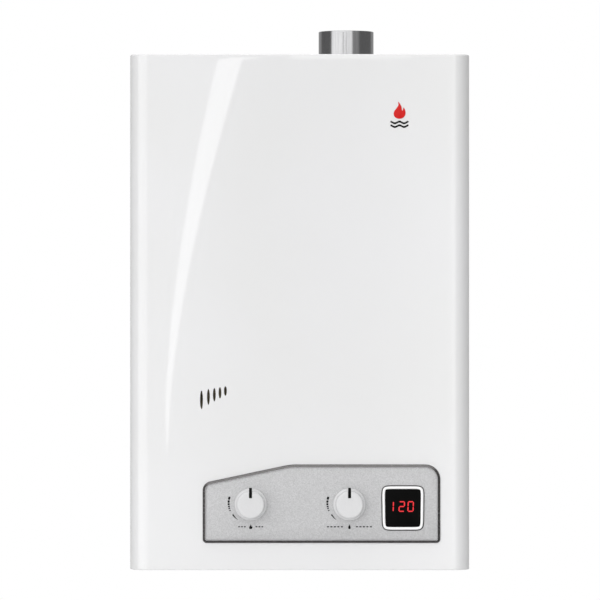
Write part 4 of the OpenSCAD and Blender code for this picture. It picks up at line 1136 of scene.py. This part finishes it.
def studio_world():
    """White behind the object. Its light is a dim tent with softboxes in it, placed by
    direction round the object."""
    world = bpy.data.worlds.new("studio")
    world.use_nodes = True
    bpy.context.scene.world = world
    tree = world.node_tree
    tree.nodes.clear()
    out = add(tree, "ShaderNodeOutputWorld")
    direction = add(tree, "ShaderNodeTexCoord").outputs["Generated"]
    parts = add(tree, "ShaderNodeSeparateXYZ", {"Vector": direction})
    ahead = calculate(tree, "MULTIPLY", parts.outputs["Y"], -1.0)
    turn = calculate(tree, "ARCTAN2", parts.outputs["X"], ahead)
    turn = calculate(tree, "DEGREES", turn)
    rise = calculate(tree, "DEGREES", calculate(tree, "ARCSINE", parts.outputs["Z"]))
    level = add(tree, "ShaderNodeMapRange", {"Value": rise}, From_Min=-20.0, From_Max=0.0,
                To_Min=TENT * 0.5, To_Max=TENT).outputs[0]
    for strength, left, right, side_soft, low, high, soft in SOFTBOXES:
        box = calculate(tree, "MULTIPLY", window(tree, turn, left, right, side_soft),
                        window(tree, rise, low, high, soft))
        level = calculate(tree, "ADD", level, calculate(tree, "MULTIPLY", box, strength))
    tent = add(tree, "ShaderNodeBackground", {"Strength": level})
    tent.inputs["Color"].default_value = (1, 1, 1, 1)
    backdrop = add(tree, "ShaderNodeBackground", Strength=1.0)
    backdrop.inputs["Color"].default_value = (1, 1, 1, 1)
    seen = add(tree, "ShaderNodeLightPath").outputs["Is Camera Ray"]
    mixed = add(tree, "ShaderNodeMixShader", {"Fac": seen})
    tree.links.new(tent.outputs[0], mixed.inputs[1])
    tree.links.new(backdrop.outputs[0], mixed.inputs[2])
    tree.links.new(mixed.outputs[0], out.inputs["Surface"])


studio_world()


def glowing(name, strength):
    material = bpy.data.materials.new(name)
    material.use_nodes = True
    tree = material.node_tree
    tree.nodes.clear()
    light = add(tree, "ShaderNodeEmission", Strength=strength)
    out = add(tree, "ShaderNodeOutputMaterial")
    tree.links.new(light.outputs[0], out.inputs["Surface"])
    return material


CARD_DISTANCE = 1.0


def light_card(name, left, right, strength, low=120, high=594):
    """A glowing sheet in front of the case whose mirror image in the front's plane fills the
    space between two curves, each x as a function of height, from low to high, in mm."""
    spread = (CAMERA_DISTANCE + CARD_DISTANCE) / CAMERA_DISTANCE
    z = BASE_Z + np.linspace(low, high, 80) * MM
    height = (z - BASE_Z) / MM
    edges = [np.column_stack([curve(height) * MM * spread, np.full(80, FRONT_Y - CARD_DISTANCE),
                              CAMERA_Z + (z - CAMERA_Z) * spread]) for curve in (left, right)]
    mesh = bpy.data.meshes.new(name)
    mesh.from_pydata(np.concatenate(edges).tolist(), [], grid_faces(2, 80, False, False))
    mesh.materials.append(glowing(name, strength))
    made = placed(name, mesh)
    made.visible_camera = False
    made.visible_shadow = False
    return made


def band_middle(height):
    """Middle line of the long soft reflection: it leans right as it rises."""
    rise = np.clip((height - 150) / 382, 0, 2)
    return -137 + 66 * rise ** 1.6


def band_half(height):
    rise = np.clip((height - 150) / 382, 0, 2)
    return np.clip((height - 118) / 40, 0, 1) * (2 + 11 * rise ** 1.2)


light_card("band_card", lambda h: band_middle(h) - band_half(h),
           lambda h: band_middle(h) + band_half(h), 2.9)
light_card("left_card", lambda h: 0 * h - 178, lambda h: band_middle(h) - band_half(h), 1.0)
light_card("collar_card", lambda h: 0 * h - 10, lambda h: 0 * h + 115, 1.7, 545, 760)

FLOOR_Z = -1.4
FLOOR_RADIUS = 3
floor_mesh = bpy.data.meshes.new("floor")
floor_vertices, floor_faces = turned([(0, 0), (FLOOR_RADIUS, 0)], (0, 0, FLOOR_Z), (0, 0, 1))
floor_mesh.from_pydata(floor_vertices.tolist(), [], floor_faces)
floor = placed("floor", floor_mesh)
floor_paint, floor_tree, floor_shader, floor_place = start_material("pale_floor", Roughness=0.8)
colour_by(floor_tree, floor_shader, noise(floor_tree, floor_place, 400), "#ECECEC", "#F0F0F0")
floor_mesh.materials.append(floor_paint)
floor.visible_glossy = False

bpy.context.scene.view_settings.view_transform = "Standard"
